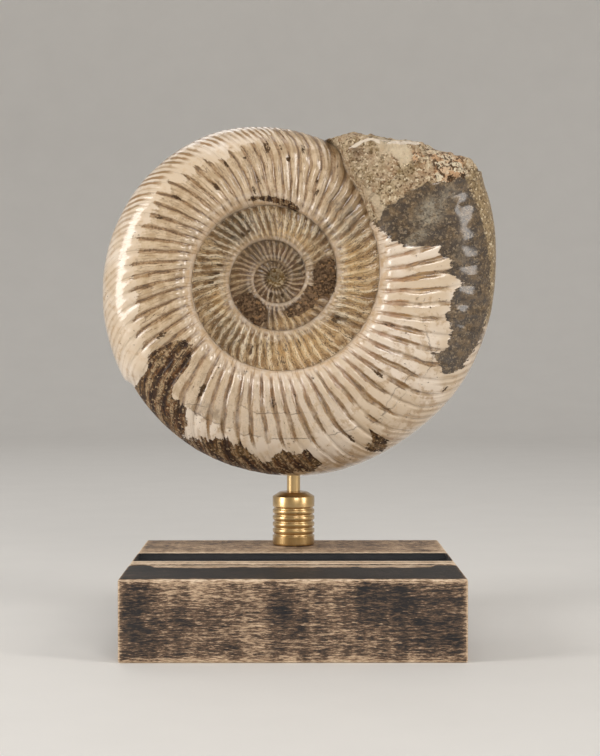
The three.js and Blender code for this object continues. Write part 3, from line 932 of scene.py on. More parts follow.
class Graph:
    """A node material under construction."""

    def __init__(self, name):
        self.material = bpy.data.materials.new(name)
        self.material.use_nodes = True
        self.tree = self.material.node_tree
        self.shader = self.tree.nodes["Principled BSDF"]
        self.place = self.add("TexCoord", "Object")

    def put(self, target, value):
        """Links a field to an input, or sets the input's own value."""
        if isinstance(value, Field):
            self.tree.links.new(value.socket, target)
        else:
            target.default_value = (*value, 1) if target.type == "RGBA" else value

    def add(self, kind, output, inputs=None, **settings):
        """An output of a new node with these inputs and settings."""
        node = self.tree.nodes.new("ShaderNode" + kind)
        for name, setting in settings.items():
            setattr(node, name, setting)
        for name, value in (inputs or {}).items():
            self.put(node.inputs[name], value)
        return Field(self, node.outputs[output])

    def beside(self, field, output):
        """Another output of the node that a field comes from."""
        return Field(self, field.socket.node.outputs[output])

    def math(self, operation, *values):
        return self.add("Math", 0, dict(enumerate(values)), operation=operation)

    def __getitem__(self, name):
        """Values of this name that the mesh carries."""
        return self.add("Attribute", "Fac", attribute_name=name)

    def noise(self, size, detail=3.0, roughness=0.55, stretch=(1, 1, 1), distortion=0.0):
        """Noise from 0 to 1 with lumps about size metres across, longer along an axis with stretch over 1."""
        scale = tuple(1 / (size * part) for part in stretch)
        return self.add("TexNoise", "Fac", {
            "Vector": self.add("Mapping", 0, {"Vector": self.place, "Scale": scale}),
            "Scale": 1.0, "Detail": detail, "Roughness": roughness, "Distortion": distortion})

    def cells(self, size):
        """Random value of each ragged grain about size metres across, and distance from its middle."""
        bend = self.add("TexNoise", "Color", {"Vector": self.place, "Scale": 1 / size})
        shift = {0: bend, 1: (GRAIN_WARP * size,) * 3, 2: self.place}
        moved = self.add("VectorMath", 0, shift, operation="MULTIPLY_ADD")
        colour = self.add("TexVoronoi", "Color", {"Vector": moved, "Scale": 1 / size})
        return self.add("SeparateColor", 0, {0: colour}), self.beside(colour, "Distance")

    def streaks(self, across, lengthwise, detail):
        """Noise drawn out along the ribs, with this many lumps across each and along a whorl's height."""
        place = self.add("CombineXYZ", 0, {0: self["rib"] * across, 1: self["share"] * lengthwise})
        return self.add("TexNoise", "Fac", {"Vector": place, "Scale": 1.0, "Detail": detail})

    def waves(self, count):
        """0 on the crests and 1 in the valleys of this many waves to a rib."""
        return self.math("COSINE", self["rib"] * (2 * math.pi * count)).scale(-0.5, 0.5)

    def bump(self, height, distance, strength=1.0):
        inputs = {"Distance": distance, "Strength": strength, "Height": height}
        self.dress({"Normal": self.add("Bump", 0, inputs)})

    def dress(self, looks):
        """Sets or links inputs of the material's shader."""
        for name, look in looks.items():
            self.put(self.shader.inputs[name], look)


class ShellGraph(Graph):
    """The shell's material, with noises and rib waves that its parts share."""

    def __init__(self, name):
        super().__init__(name)
        self.fine = self.noise(0.0012, 3, 0.65).even()
        self.grit = self.noise(0.0007, 2, 0.7).even()
        self.medium = self.noise(0.0045, 4, 0.6).even()
        self.patchy = self.noise(0.01, 3, 0.55).even()
        self.broad = self.noise(0.022, 3, 0.5).even()
        self.pits = self.noise(0.0026, 3, 0.65, distortion=0.6).even()
        self.grain, _ = self.cells(0.0009)
        self.clod, self.clod_away = self.cells(0.0028)
        self.streak = self.streaks(5, 5, 3).even()
        self.line = self.streaks(2.2, 3.2, 3).even()
        self.valley = self.waves(1)
        self.fine_valley = self.waves(2)
        self.frayed = self.medium.swing(5) + self.streak.swing(5) + self.fine.swing(2.5)
        self.crumbled = self.medium.swing(4) + self.fine.swing(3)


def tone(red, green, blue):
    """Linear colour from the usual 0 to 255 values."""
    parts = [part / 255 for part in (red, green, blue)]
    return tuple(p / 12.92 if p <= 0.04045 else ((p + 0.055) / 1.055) ** 2.4 for p in parts)


def layers(colour, *coats):
    """A colour under coats of (share, colour)."""
    for share, coat in coats:
        colour = share.mix(colour, coat)
    return colour


CREAM = tone(214, 192, 164)
PALE_CREAM = tone(229, 212, 192)
WARM_CREAM = tone(208, 180, 146)
TAN = tone(182, 155, 119)
TAN_LIGHT = tone(208, 184, 152)
TAN_DARK = tone(152, 123, 86)
FURROW_BROWN = tone(98, 70, 40)
GROOVE_BROWN = tone(148, 109, 62)
OLIVE_BROWN = tone(138, 108, 64)
RUST = tone(154, 98, 54)
DARK_BROWN = tone(50, 28, 12)
MID_BROWN = tone(118, 80, 44)
RIDGE_BROWN = tone(160, 122, 80)
CREST = tone(240, 224, 196)
CREST_DULL = tone(214, 190, 152)
VALLEY = tone(148, 114, 72)
VALLEY_LIGHT = tone(202, 172, 128)
VALLEY_DARK = tone(78, 52, 26)
GOLD_CREST = tone(234, 206, 158)
GOLD_VALLEY = tone(206, 162, 100)
MURK_CREST = tone(206, 191, 166)
MURK_VALLEY = tone(42, 36, 27)
STONE_GREY = tone(112, 89, 58)
STONE_DARK = tone(58, 44, 28)
STONE_BLUE = tone(158, 150, 132)
STONE_SPECK = tone(166, 144, 112)
STONE_BLACK = tone(50, 36, 22)
STRIP_BROWN = tone(110, 90, 58)
STRIP_TAN = tone(176, 152, 114)
CRUMB_BROWN = tone(126, 100, 74)
CRUMB_DARK = tone(72, 52, 32)
CRUMB_OLIVE = tone(208, 188, 152)
ROCK_TAN = tone(226, 203, 168)
ROCK_OLIVE = tone(140, 116, 76)
ROCK_DARK = tone(84, 60, 34)
LIP_WHITE = tone(246, 230, 210)
ROCK_RUST = tone(222, 178, 136)
ROCK_BROWN = tone(170, 136, 102)
ROCK_PALE = tone(248, 232, 202)
BLACK_BROWN = tone(30, 18, 8)
PIT_BROWN = tone(88, 60, 36)

# Clear polish of the shell
POLISH_IOR = 1.62
POLISH_ROUGHNESS = 0.15


def scratches(g, width):
    """Thin irregular lines drawn out along the ribs."""
    return abs(g.line.scale(1, -0.5)).step(width, width * 0.35)


def patch(g, name, soft=0.7):
    """1 inside a patch, with an edge frayed along the ribs."""
    return (g[name] + g.frayed).step(-soft, soft)


def cream_colour(g):
    """Cream shell, with brown in its furrows, lines across the rim, and tarnish in places that on the lower
    right is also painted shade.
    """
    valley = g.valley + (g.streak.swing(0.4) + g.fine.swing(0.2))
    stain = (valley - g["stain"].less(0.62)).step(-0.14, 0.14) * g["stain"].step(0.03, 0.2)
    brown = layers(
        g.medium.step(0.3, 0.8).mix(GROOVE_BROWN, OLIVE_BROWN),
        (g["gold"] * 0.7, GOLD_VALLEY),
        (g["shoulder"] * 0.6, RUST),
        (scratches(g, 0.12) * 0.8, FURROW_BROWN))
    marks = g["rim_stain"] * (g.fine_valley + g.medium.swing(0.6)).step(0.25, 0.7)
    # Warm brown blotches: tarnish, and on the lower right painted shade as well
    tarnish_and_shade = (g["tarnish_and_shade"] + g.medium.scale(1.6, -1.1)).step(0.1, 0.7)
    return layers(
        g.broad.step(0.3, 0.8).mix(CREAM, PALE_CREAM),
        (g.medium.step(0.5, 0.9) * 0.6, WARM_CREAM),
        (stain * g.patchy.step(0, 0.5) * 0.92, brown),
        (g["shoulder"] * valley.step(0.6, 1) * 0.8, g.patchy.mix(RUST, WARM_CREAM)),
        (g["lines"] * g.fine_valley.step(0.85, 1) * g.medium * 0.5, GROOVE_BROWN),
        (marks * 0.92, g.patchy.mix(GROOVE_BROWN, OLIVE_BROWN)),
        (tarnish_and_shade * 0.6, g.streak.mix(GROOVE_BROWN, TAN_LIGHT)))


def flank_colour(g):
    """Tan rib bands with thin broken brown lines along the furrows."""
    valley = g.valley + (g.streak.swing(0.5) + g.fine.swing(0.3))
    return layers(
        g.medium.step(0.2, 0.8).mix(TAN, TAN_LIGHT),
        (g.streak.step(0.5, 0.95) * 0.6, TAN_DARK),
        (valley.step(0.5, 0.9) * 0.72, GROOVE_BROWN),
        (valley.step(0.88, 1.04) * 0.85, FURROW_BROWN),
        (scratches(g, 0.06) * g.patchy.step(0.35, 0.7) * 0.6, FURROW_BROWN),
        (g.grit.step(0.7, 0.9) * g.broad.step(0.3, 0.7) * 0.7, FURROW_BROWN))


def inner_colour(g):
    """Worn ribs, pale on their crests in places, partly as a painted highlight, over brown and olive, with
    golden and murky parts.
    """
    gold, murk = g["gold"], g["murk"] * g.medium.step(0.05, 0.45)
    old = g["old"] * gold.less(0.8)
    worn = old * g.patchy.step(0.35, 0.75) * 0.6
    low = layers(
        g.medium.step(0.2, 0.8).mix(VALLEY, VALLEY_LIGHT),
        (gold * 0.85, g.streak.mix(GOLD_VALLEY, VALLEY_LIGHT)),
        (old * 0.85, g.streak.mix(VALLEY_DARK, MID_BROWN)),
        (murk, g.clod.mix(MURK_VALLEY, OLIVE_BROWN)),
        (worn, STRIP_BROWN))
    pale_crest_and_highlight = layers(
        gold.mix(CREST, GOLD_CREST),
        (g.medium * 0.7, CREST_DULL),
        (old * 0.75, g.patchy.mix(RIDGE_BROWN, TAN)),
        (murk * 0.7, MURK_CREST),
        (worn, g.medium.mix(OLIVE_BROWN, TAN_DARK)))
    height = g.streak.swing(0.8) + g.medium.swing(0.5) + g.fine.swing(0.5) - g.valley
    seen = g.patchy.step(0.2, 0.6) | murk | old
    return layers(
        low,
        # Pale rib crests: worn shell, and partly a painted highlight along the crests
        (height.step(-0.52, -0.15) * seen.scale(0.7, 0.3), pale_crest_and_highlight),
        (height.step(-0.75, -1.15) * g.streak.step(0.2, 0.7) * 0.8, VALLEY_DARK),
        (scratches(g, 0.07) * g.medium.step(0.25, 0.6) * 0.8, VALLEY_DARK),
        (g.streak.step(0.25, 0.1) * g.medium.step(0.4, 0.7) * 0.7, pale_crest_and_highlight),
        (g.grit.step(0.66, 0.88) * 0.6, VALLEY_DARK))


def dark_colour(g):
    """Rough brown where the shell has flaked away, paler along some ribs."""
    rib = g.valley + (g.streak.swing(1) + g.medium.swing(0.9))
    return layers(
        rib.step(-0.2, 0.55).mix(TAN, MID_BROWN),
        (rib.step(0.45, 1.15), DARK_BROWN),
        (g.patchy.step(0.45, 0.8) * 0.5, OLIVE_BROWN),
        (scratches(g, 0.1) * 0.7, DARK_BROWN),
        (g.grain.step(0.3, 0.12) * 0.6, BLACK_BROWN),
        (g.grit.step(0.5, 0.8) * 0.6, DARK_BROWN),
        (g.grain.step(0.86, 0.94) * 0.75, TAN))


def crumb_colour(g):
    """Grainy dark stone where the inner whorls have broken down, olive at the middle."""
    dark = g["murk"].mix(CRUMB_DARK, OLIVE_BROWN)
    return layers(
        g["murk"].mix(CRUMB_BROWN, CRUMB_OLIVE),
        (g.grain.step(0.75, 0.2), dark),
        (g.medium.step(0.5, 0.8) * 0.5, dark),
        (g.grain.step(0.85, 0.95) * 0.7, RIDGE_BROWN))


def stone_colour(g):
    """Smooth grey-brown stone cast with lighter specks, rougher and browner by the rim."""
    return layers(
        g.medium.step(0.2, 0.8).mix(STONE_GREY, STONE_DARK),
        (g["blue"] * g.patchy.step(-0.3, 0.4) * 0.85, g.medium.step(0.4, 0.9).mix(STONE_BLUE, STONE_GREY)),
        (g.clod.step(0.3, 0.1) * 0.35, STONE_DARK),
        (g.patchy.step(0.5, 0.9) * 0.5, STONE_BLACK),
        (g.grain.step(0.8, 0.93) * 0.45, STONE_SPECK),
        (g.grit.step(0.14, 0.04) * 0.7, STONE_SPECK),
        (g.grain.step(0.2, 0.1) * 0.6, STONE_BLACK),
        (g.grit.step(0.6, 0.85) * 0.5, STONE_DARK),
        ((g["rim_band"] + g.crumbled).step(-0.6, 0.6) * 0.9, rubble(g, STRIP_BROWN, STRIP_TAN)))


def rubble(g, dark, light):
    """Ragged grains from a dark to a light tone, with dark gaps and pale specks."""
    shade = g.grain.scale(0.5, -0.05) + g.clod * 0.25 + g.medium * 0.4
    return layers(
        shade.step(0.1, 0.9).mix(dark, light),
        (g.grain.step(0.17, 0.07) * 0.65, ROCK_DARK),
        (g.grit.step(0.35, 0.1) * 0.4, ROCK_DARK),
        (g.grain.step(0.86, 0.94) * 0.6, ROCK_PALE))


def rock_colour(g):
    """Granular matrix of the broken end, with a pitted rusty part, a smooth pale one and the shell's lip."""
    dark = g.patchy.step(0.3, 0.7).mix(ROCK_OLIVE, ROCK_BROWN)
    light = g.broad.step(0.3, 0.7).mix(ROCK_TAN, TAN_LIGHT)
    nodules = layers(
        g.clod.step(0.2, 0.8).mix(ROCK_RUST, ROCK_PALE),
        (g.grain.step(0.35, 0.1) * 0.8, MID_BROWN),
        (g.pits.step(0.44, 0.28), PIT_BROWN))
    smooth = layers(g.medium.mix(ROCK_PALE, TAN_LIGHT), (g.grain * 0.35, ROCK_TAN))
    lip = abs(g["lip"] + g.medium.swing(2.4)).step(2, 1.1) * g.patchy.step(0, 0.15)
    return layers(
        rubble(g, dark, light),
        (g["murk"] * g.medium.step(0.1, 0.5) * 0.7, ROCK_DARK),
        ((g["pitted"] + g.medium.swing(0.8)).step(0.2, 0.7) * 0.9, nodules),
        ((g["pale"] + g.medium.swing(0.7)).step(0.25, 0.8) * 0.9, smooth),
        (lip * g["lip_near"], LIP_WHITE))


def layered_colour(g):
    """The shell's colour where it is whole: cream rim, tan flank, inner whorls, the walls between and painted
    shade in the seam creases.
    """
    wall = layers(
        g.medium.step(0.2, 0.8).mix(PALE_CREAM, WARM_CREAM),
        (g.streak.step(0.55, 0.85) * 0.5, GROOVE_BROWN),
        (g["inner"] * g.patchy.step(0.3, 0.8) * 0.3, g.medium.mix(VALLEY, VALLEY_LIGHT)))
    clean = g.patchy.step(-0.4, 0.2) * g["murk"].less(0.8)
    return layers(
        cream_colour(g),
        (patch(g, "flank", 1.5) * g["flank_strength"], flank_colour(g)),
        (g["murk"] * g.medium.step(0.3, 0.7) * 0.75, g.clod.mix(MURK_VALLEY, TAN_DARK)),
        (g["inner"], inner_colour(g)),
        (g["wall"] * clean * 0.95, wall),
        (g["seam"] * g.medium.step(0.15, 0.5) * 0.35, PALE_CREAM),
        # Painted shade: a little brown darkening in the crease where a whorl meets the one inside it
        (g["crease"] * g.patchy.step(0.2, 0.6) * 0.12, FURROW_BROWN))


def shell_material():
    """The whole shell: its layers, what shows where they are gone, and its polish."""
    g = ShellGraph("fossil_shell")
    dark, stone = patch(g, "dark"), patch(g, "stone")
    rock = (g["rock"] + g.medium.swing(0.9)).step(0.35, 0.65)
    crumb = (g["crumb"] + g.crumbled).step(-0.4, 0.4)
    bared = dark | stone | crumb
    spot = (g["spot"] + (g.fine.swing(0.9) + g.streak.swing(0.5))).step(0.4, 0.6)
    crack = abs(g["crack"] + g.medium.swing(3.6)).step(0.55, 0.1) * g["crack_near"]
    crack = crack * g.patchy.step(0.15, 0.65)
    rough = rock | spot | dark * 0.85 | crumb
    polish = (rough | stone * g["rim_band"].step(-1, 1) * 0.8).less() * g["inner"].less(0.55)
    g.dress({
        "Base Color": layers(
            layered_colour(g),
            (dark, dark_colour(g)),
            (crumb, crumb_colour(g)),
            (stone, stone_colour(g)),
            # Painted shade: a thin dark line along the edges of bare patches, where the shell steps down to
            # what lies under it
            (bared * bared.less() * 3, FURROW_BROWN),
            (rock, rock_colour(g)),
            (spot * 0.9, g.grit.mix(BLACK_BROWN, FURROW_BROWN)),
            (crack * 0.45, FURROW_BROWN)),
        "Roughness": rough.blend(0.42, 0.88),
        "Specular IOR Level": 0.35,
        "Coat Weight": polish * g["crease"].less(0.8) * stone.less(0.35),
        "Coat Roughness": POLISH_ROUGHNESS,
        "Coat IOR": POLISH_IOR})
    shell_bump(g, rough | stone * 0.25, rock, bared, spot | crack * 0.5)
    return g.material


def shell_bump(g, rough, rock, bared, pits):
    """Grain of the rock, fibres along the ribs, and the step down from the shell to what lies under it."""
    rub = g["inner"].blend(0.05, 0.4)
    grain = g.fine * rough.blend(rub, 0.6) + g.streak * rough.blend(rub * 1.2, 0.4)
    clods = (g.pits * 1.1 + g.grain * 0.7 - g.clod_away * 1.1) * rock
    groove = g.valley.step(0.8, 1) * g["wall"].scale(-0.3, 0.3)
    g.bump(grain + clods - (bared * 0.8 + (pits + groove)), 0.0009)


def brass_material():
    g = Graph("satin_brass")
    turning = g.noise(0.00035, 3, 0.6, (60, 60, 1))
    g.dress({
        "Base Color": g.noise(0.008, 3, 0.5).mix(tone(212, 174, 100), tone(188, 148, 79)),
        "Metallic": 1.0,
        "Roughness": turning.blend(0.27, 0.36),
        "Coat Weight": 1.0,
        "Coat IOR": 2.1,
        "Coat Roughness": 0.24})
    g.bump(turning, 0.00002, 0.4)
    return g.material


def wood_material():
    """Charcoal paint rubbed through in flecks that follow the grain, paler along the edges as wear and partly
    as a painted highlight.
    """
    g = Graph("painted_wood")
    fine = g.noise(0.00038, 3, 0.7, WOOD_GRAIN).even()
    fleck = g.noise(0.0007, 4, 0.75, WOOD_GRAIN, 0.3).even()
    streak = g.noise(0.006, 3, 0.6, (5, 1, 0.2)).even()
    cloud = g.noise(0.014, 3, 0.6).even()
    bands = g.noise(0.004, 2, 0.5, (1.5, 40, 40)).even()
    texture = fine * 0.5 + (fleck * 0.4 + streak * 0.14)
    # Edges are paler: worn paint, and partly a painted highlight along them
    density = g["rub"] * 0.3 + g["edge_wear_and_highlight"] * 0.6 + (cloud.swing(0.22) + bands.swing(0.14))
    over = density + texture - PAINT_HOLD
    bare = over.step(-0.1, 0.12)
    wood = layers(
        fine.step(0.2, 0.8).mix(tone(158, 130, 104), tone(206, 178, 148)),
        (over.step(0.15, 0.55), tone(232, 210, 182)))
    g.dress({
        "Base Color": layers(
            cloud.mix(tone(30, 30, 32), tone(45, 43, 43)),
            (over.step(-0.4, 0) * 0.9, fleck.mix(tone(94, 73, 56), tone(140, 111, 87))),
            (bare, wood)),
        "Roughness": bare.blend(0.55, 0.75),
        "Specular IOR Level": 0.3})
    g.bump(fleck * 0.6 - bare * 0.5, 0.0003, 0.8)
    return g.material


def make_ammonite():
    shell = make_shell()
    points = np.concatenate(shell.points)
    values = paint_values(points, np.concatenate(shell.values))
    made = new_object("ammonite_shell", points * MM, shell.sheets, shell.triangles, values)
    made.data.materials.append(shell_material())
    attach(made, "root")
    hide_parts("ammonite")


def swept(profile, sides):
    """Points about an axis from (radius, height) points, and their numbers in rows closed on themselves."""
    turns = np.linspace(0, 2 * np.pi, sides, endpoint=False)
    body = np.array(profile, float)
    points = np.stack([body[:, :1] * np.cos(turns), body[:, :1] * np.sin(turns), body[:, 1:] + 0 * turns], -1)
    rows = np.arange(len(body) * sides).reshape(len(body), sides)
    return points.reshape(-1, 3), np.concatenate([rows, rows[:, :1]], 1)


def lathe(name, profile, sides, material, node):
    """A turned piece about the pin's axis from (radius, height) points, both ends on the axis."""
    rings, rows = swept(profile[1:-1], sides)
    points = np.vstack([rings, (0, 0, profile[0][1]), (0, 0, profile[-1][1])]) + (pin_x, pin_y, 0)
    caps = fan(len(rings), rows[0][::-1]) + fan(len(rings) + 1, rows[-1])
    made = new_object(name, points * MM, [sheet(rows, True)], caps)
    made.data.materials.append(material)
    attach(made, "root")
    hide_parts(node)


# Turned brass: the groove and bead sizes in millimetres, up from the socket's foot
FIRST_GROOVE_HEIGHT = 5.4
GROOVE_PITCH = 3.25
GROOVES = 5
GROOVE_DEPTH = 0.75
GROOVE_HALF_WIDTH = 0.75
BEAD_CROWN = 0.18
CONE_HEIGHT = 2.2
MOUTH_RADIUS = 6.7
BORE_GAP = 0.15
BORE_DEPTH = 1.5
EDGE_EASE = 0.35
PIN_EASE = 0.2
SOCKET_SIDES = 96
PIN_SIDES = 64
PIN_RINGS = 12


def socket_profile():
    foot, top = socket_low[2], socket_high[2]
    radius = (socket_high[0] - socket_low[0]) / 2
    bore = pin_radius + BORE_GAP
    profile = [(0, foot), (radius - EDGE_EASE, foot), (radius, foot + EDGE_EASE)]
    last = foot + FIRST_GROOVE_HEIGHT + (GROOVES - 1) * GROOVE_PITCH + GROOVE_HALF_WIDTH
    for height in np.arange(foot + 1, last + 0.4, 0.12):
        place = (height - foot - FIRST_GROOVE_HEIGHT) / GROOVE_PITCH
        away = abs(place - np.clip(round(place), 0, GROOVES - 1)) * GROOVE_PITCH
        cut = GROOVE_DEPTH * math.sqrt(max(0, 1 - (away / GROOVE_HALF_WIDTH) ** 2))
        hollow = BEAD_CROWN * (1 + math.cos(2 * math.pi * place)) / 2 if 0 <= place <= GROOVES - 1 else 0
        profile.append((radius - max(cut, hollow), height))
    cone = top - CONE_HEIGHT
    return profile + [
        (radius, cone - 0.3), (radius - 0.15, cone), (MOUTH_RADIUS + 0.3, top - 0.1), (MOUTH_RADIUS, top),
        (bore, top), (bore, top - BORE_DEPTH), (0, top - BORE_DEPTH)]


def make_brass():
    material = brass_material()
    lathe("turned_socket", socket_profile(), SOCKET_SIDES, material, "brass_socket")
    low, high = pin_low[2], pin_high[2]
    heights = [low + PIN_EASE, *np.linspace(low + 1, high - 1, PIN_RINGS), high - PIN_EASE]
    body, eased = [(pin_radius, height) for height in heights], pin_radius - PIN_EASE
    profile = [(0, low), (eased, low), *body, (eased, high), (0, high)]
    lathe("round_pin", profile, PIN_SIDES, material, "brass_pin")


# Top of the block: height in millimetres, and the channel and the slot cut across it, as distances from the
# front where each begins, is at full depth, leaves it and ends, and that depth. Thin walls close their ends
BLOCK_HEIGHT = 36
CHANNEL = (63, 63.3, 93.8, 94, 3)
SLOT = (47, 47.3, 51.7, 52, 0.8)
LIP_RUN = 0.02
LIP_DROP = 0.25
END_WALL = 1
END_WALL_FOOT = 1.2
BLOCK_COLUMNS = 121
BLOCK_ROWS = 36
BLOCK_EASE = 0.9
SLICE = 1.25


def block_lines(half):
    """Distances across and from the front at which the block is cut into thin slices."""
    walls = [half - END_WALL_FOOT, half - END_WALL]
    across = {*np.linspace(-half, half, BLOCK_COLUMNS), *walls, *(-wall for wall in walls)}
    lips = [edge for cut in (CHANNEL, SLOT) for edge in (cut[0] + LIP_RUN, cut[3] - LIP_RUN)]
    depths = [*CHANNEL[:4], *SLOT[:4], *lips]
    even = np.arange(0, 2 * half + 0.5, SLICE)
    near = [d for d in even if min(abs(d - other) for other in depths) > 0.5]
    return np.array(sorted(across)), np.array(sorted({*depths, *near}))


def block_top(across, depth, half):
    """Height of the block's top at distances across and from the front."""
    inside = np.clip((half - END_WALL - np.abs(across)) / (END_WALL_FOOT - END_WALL), 0, 1)
    cut = 0
    for first, low, high, last, deep in (CHANNEL, SLOT):
        edges = [first, first + LIP_RUN, low, high, last - LIP_RUN, last]
        cut = cut + np.interp(depth, edges, [0, LIP_DROP, deep, deep, LIP_DROP, 0])
    return BLOCK_HEIGHT - cut * inside


def round_corners(points, half, tops):
    """Eases the outer edges of the block by pulling its corners on to quarter circles."""
    middle = np.stack([0 * tops, 0 * tops, tops / 2], -1)
    reach = np.stack([half + 0 * tops, half + 0 * tops, tops / 2], -1) - BLOCK_EASE
    away = points - middle
    past = (np.abs(away) - reach).clip(0)
    length = np.linalg.norm(past, axis=1, keepdims=True)
    pull = np.where(length > 0, past.max(1, keepdims=True) / np.maximum(length, 1e-9), 1)
    return np.where(past > 0, middle + np.sign(away) * (reach + past * pull), points)


def block_arrays():
    """Closed skin of the block: a lattice of thin slices whose inner points are left out."""
    half = (base_high[0] - base_low[0]) / 2
    across, depths = block_lines(half)
    tops = block_top(across[:, None], depths[None, :], half)
    numbers, points, local_tops, faces = {}, [], [], []

    def corner(i, j, k):
        if (i, j, k) not in numbers:
            numbers[i, j, k] = len(points)
            points.append((across[i], depths[j] - half, tops[i, j] * k / BLOCK_ROWS))
            local_tops.append(tops[i, j])
        return numbers[i, j, k]

    count = (len(across) - 1, len(depths) - 1, BLOCK_ROWS)
    for axis, first, second in ((2, 0, 1), (1, 0, 2), (0, 2, 1)):
        for a, b, end in itertools.product(range(count[first]), range(count[second]), (0, count[axis])):
            face = []
            for more_a, more_b in ((0, 0), (1, 0), (1, 1), (0, 1)):
                place = [end] * 3
                place[first], place[second] = a + more_a, b + more_b
                face.append(corner(*place))
            faces.append(face if (end > 0) == (axis == 2) else face[::-1])
    return np.array(points), np.array(local_tops), faces, half


def block_edge_wear_and_highlight(points, tops, half):
    """How near each spot is to an edge, 1 on the edge: paint rubbed through there, and partly a painted
    highlight along it.
    """
    x, y, z = points.T
    depth = y + half
    second = np.sort([half - np.abs(x), depth, half - y, tops - z, z], axis=0)[1]
    on_top = (tops - z < 0.3) & (tops > BLOCK_HEIGHT - 0.2)
    step = np.min([np.abs(depth - edge) for cut in (CHANNEL, SLOT) for edge in (cut[0], cut[3])], axis=0)
    return np.exp(-np.where(on_top, np.minimum(second, step), second) / EDGE_WEAR_AND_HIGHLIGHT_REACH)


# Broad rubbed places on the front, as left-right position, height, half sizes in millimetres and strength
RUBBED = [
    (-22, 30, 44, 5, 0.5), (-30, 5, 44, 6, 0.1), (-18, 18, 16, 14, 0.35), (-69, 18, 7, 18, -0.9),
    (42, 28, 26, 7, -0.5), (-8, 23, 12, 7, -0.4), (0, 2, 70, 3, 0.15), (62, 18, 14, 14, -0.2),
]

# Reach of the wear and painted highlight at edges, rub of the other parts, where the rubbed ridge starts, and
# depth of the dents
EDGE_WEAR_AND_HIGHLIGHT_REACH = 1.1
FRONT_RUB = 1.1
TERRACE_RUB = 1.6
RIDGE_RUB = 2.3
RIDGE_FRONT = 39
SLOT_RUB = 1.0
CHANNEL_RUB = -3
EDGE_RUB = 0.9
SIDE_RUB = 0.95
DENT = 0.12


def block_rub(points, tops, half):
    """How far the paint is rubbed through, about 0 where it is whole and 2 where the wood is bare."""
    x, y, z = points.T
    depth = y + half
    total = np.full(len(points), FRONT_RUB)
    for at, up, wide, high, strength in RUBBED:
        total += strength * np.exp(-(((x - at) / wide) ** 2 + ((z - up) / high) ** 2))
    front = np.exp(-depth / 1.5)
    ragged = cloudy_noise(points * (1, 0.2, 1), 7, 3, 102)
    ridge_front = RIDGE_FRONT + 3 * ragged + 8 * rise(np.abs(x), 62, 66)
    ridge = RIDGE_RUB * rise(depth, ridge_front - 1, ridge_front + 1) * (depth < CHANNEL[0] + 0.1)
    terrace = (TERRACE_RUB + EDGE_RUB * np.exp(-(depth - CHANNEL[3]) / 5)) * (depth > CHANNEL[3] - 0.1)
    rub = ridge + EDGE_RUB * np.exp(-np.abs(depth - CHANNEL[0]) / 4) + terrace
    cut = rise(BLOCK_HEIGHT - tops, 0.1, 0.25)
    top = np.where(cut > 0, cut * np.where(depth < SLOT[3] + 0.1, SLOT_RUB, CHANNEL_RUB), rub)
    return front * total + (1 - front) * np.where(z > tops - 0.3, top, SIDE_RUB)


def make_block():
    points, tops, faces, half = block_arrays()
    edge_wear_and_highlight = block_edge_wear_and_highlight(points, tops, half)
    rub = block_rub(points, tops, half)
    points = round_corners(points, half, tops)
    dents = DENT * cloudy_noise(points, 5, 3, 101) * (0.3 + edge_wear_and_highlight)
    points[:, 2] -= np.where(points[:, 2] > 1, np.abs(dents), 0)
    made = new_object("rubbed_block", points * MM, [], faces, {"edge_wear_and_highlight": edge_wear_and_highlight, "rub": rub})
    made.data.materials.append(wood_material())
    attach(made, "root")
    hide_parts("wood_base")


# Floor of the set and the wall it turns into, in metres
FLOOR_RADIUS = 1.7
WALL_RADIUS = 2.6
WALL_HEIGHT = 2.4
FLOOR_BENDS = 24
FLOOR_SIDES = 96


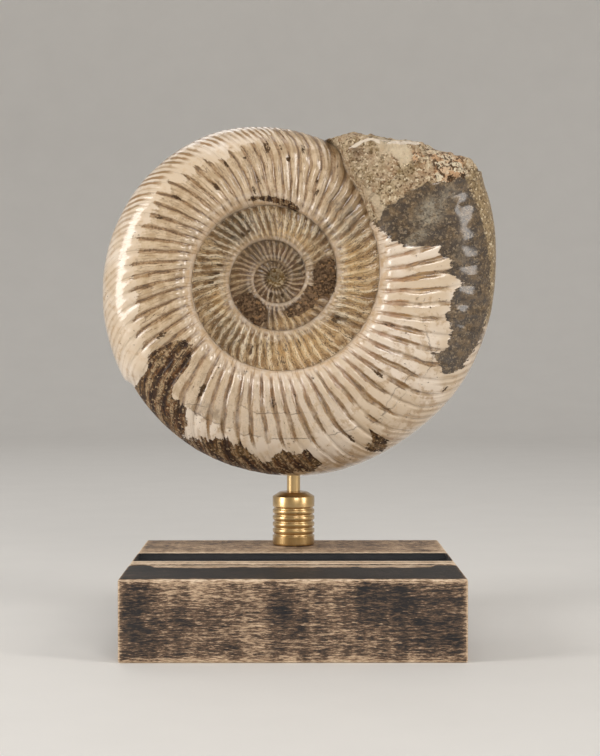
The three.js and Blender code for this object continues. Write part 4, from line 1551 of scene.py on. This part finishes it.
def make_floor():
    """A round pale floor that curves up into a wall behind everything."""
    g = Graph("pale_floor")
    g.dress({"Base Color": g.noise(0.05, 3).mix(tone(228, 225, 220), tone(234, 231, 226)), "Roughness": 0.6})
    bend = WALL_RADIUS - FLOOR_RADIUS
    turns = np.linspace(0, math.pi / 2, FLOOR_BENDS)
    arc = [(FLOOR_RADIUS + bend * math.sin(t), bend * (1 - math.cos(t))) for t in turns]
    flat = [(FLOOR_RADIUS * part, 0) for part in (0.25, 0.5, 0.75)]
    rings, rows = swept([*flat, *arc, (WALL_RADIUS, WALL_HEIGHT)], FLOOR_SIDES)
    floor = new_object("floor", np.vstack([rings, (0, 0, 0)]), [sheet(rows)], fan(len(rings), rows[0]))
    floor.data.materials.append(g.material)


# Soft panels: azimuth from the front, height over the fossil's middle, distance, size, power and colour
PANELS = {
    "left_panel": (-66, 0.33, 1.3, (0.48, 0.93), 9.6, (1.0, 0.985, 0.965)),
    "right_panel": (60, 0.5, 1.35, (0.34, 1.0), 7.0, (1.0, 0.965, 0.92)),
    "top_panel": (5, 1.6, 0.45, (1.2, 0.75), 4.6, (1, 1, 1)),
    "front_panel": (16, 0.54, 1.4, (0.44, 0.44), 4.4, (1.0, 0.98, 0.95)),
    "back_panel": (200, 1.4, 1.3, (1.0, 0.8), 4.0, (1, 1, 1)),
}
WORLD_COLOUR = (0.9, 0.9, 0.92, 1)
WORLD_STRENGTH = 0.34


def face_along(thing, direction):
    thing.rotation_mode = "QUATERNION"
    thing.rotation_quaternion = Vector(direction).to_track_quat("-Z", "Y")


def make_light(name, azimuth, height, distance, size, power, warmth):
    """A soft panel turned to the fossil."""
    turned = math.radians(azimuth)
    offset = Vector((math.sin(turned) * distance, -math.cos(turned) * distance, height))
    data = bpy.data.lights.new(name, "AREA")
    data.shape = "RECTANGLE"
    data.size, data.size_y = size
    data.energy = power
    data.color = warmth
    light = in_scene(name, data)
    light.location = Vector((0, pin_y * MM, COIL_Z * MM)) + offset
    face_along(light, -offset)


def make_world():
    world = bpy.data.worlds.new("studio")
    world.use_nodes = True
    background = world.node_tree.nodes["Background"]
    background.inputs["Color"].default_value = WORLD_COLOUR
    background.inputs["Strength"].default_value = WORLD_STRENGTH
    bpy.context.scene.world = world
    bpy.context.scene.view_settings.view_transform = "Standard"


def make_camera():
    data = bpy.data.cameras.new("camera")
    data.sensor_width = SENSOR
    data.lens = FOCAL_PIXELS * SENSOR / PHOTO_HEIGHT
    camera = in_scene("camera", data)
    camera.location = Vector(EYE) * MM
    face_along(camera, AHEAD)
    bpy.context.scene.camera = camera


make_camera()
make_ammonite()
make_brass()
make_block()
make_floor()
for panel, row in PANELS.items():
    make_light(panel, *row)
make_world()
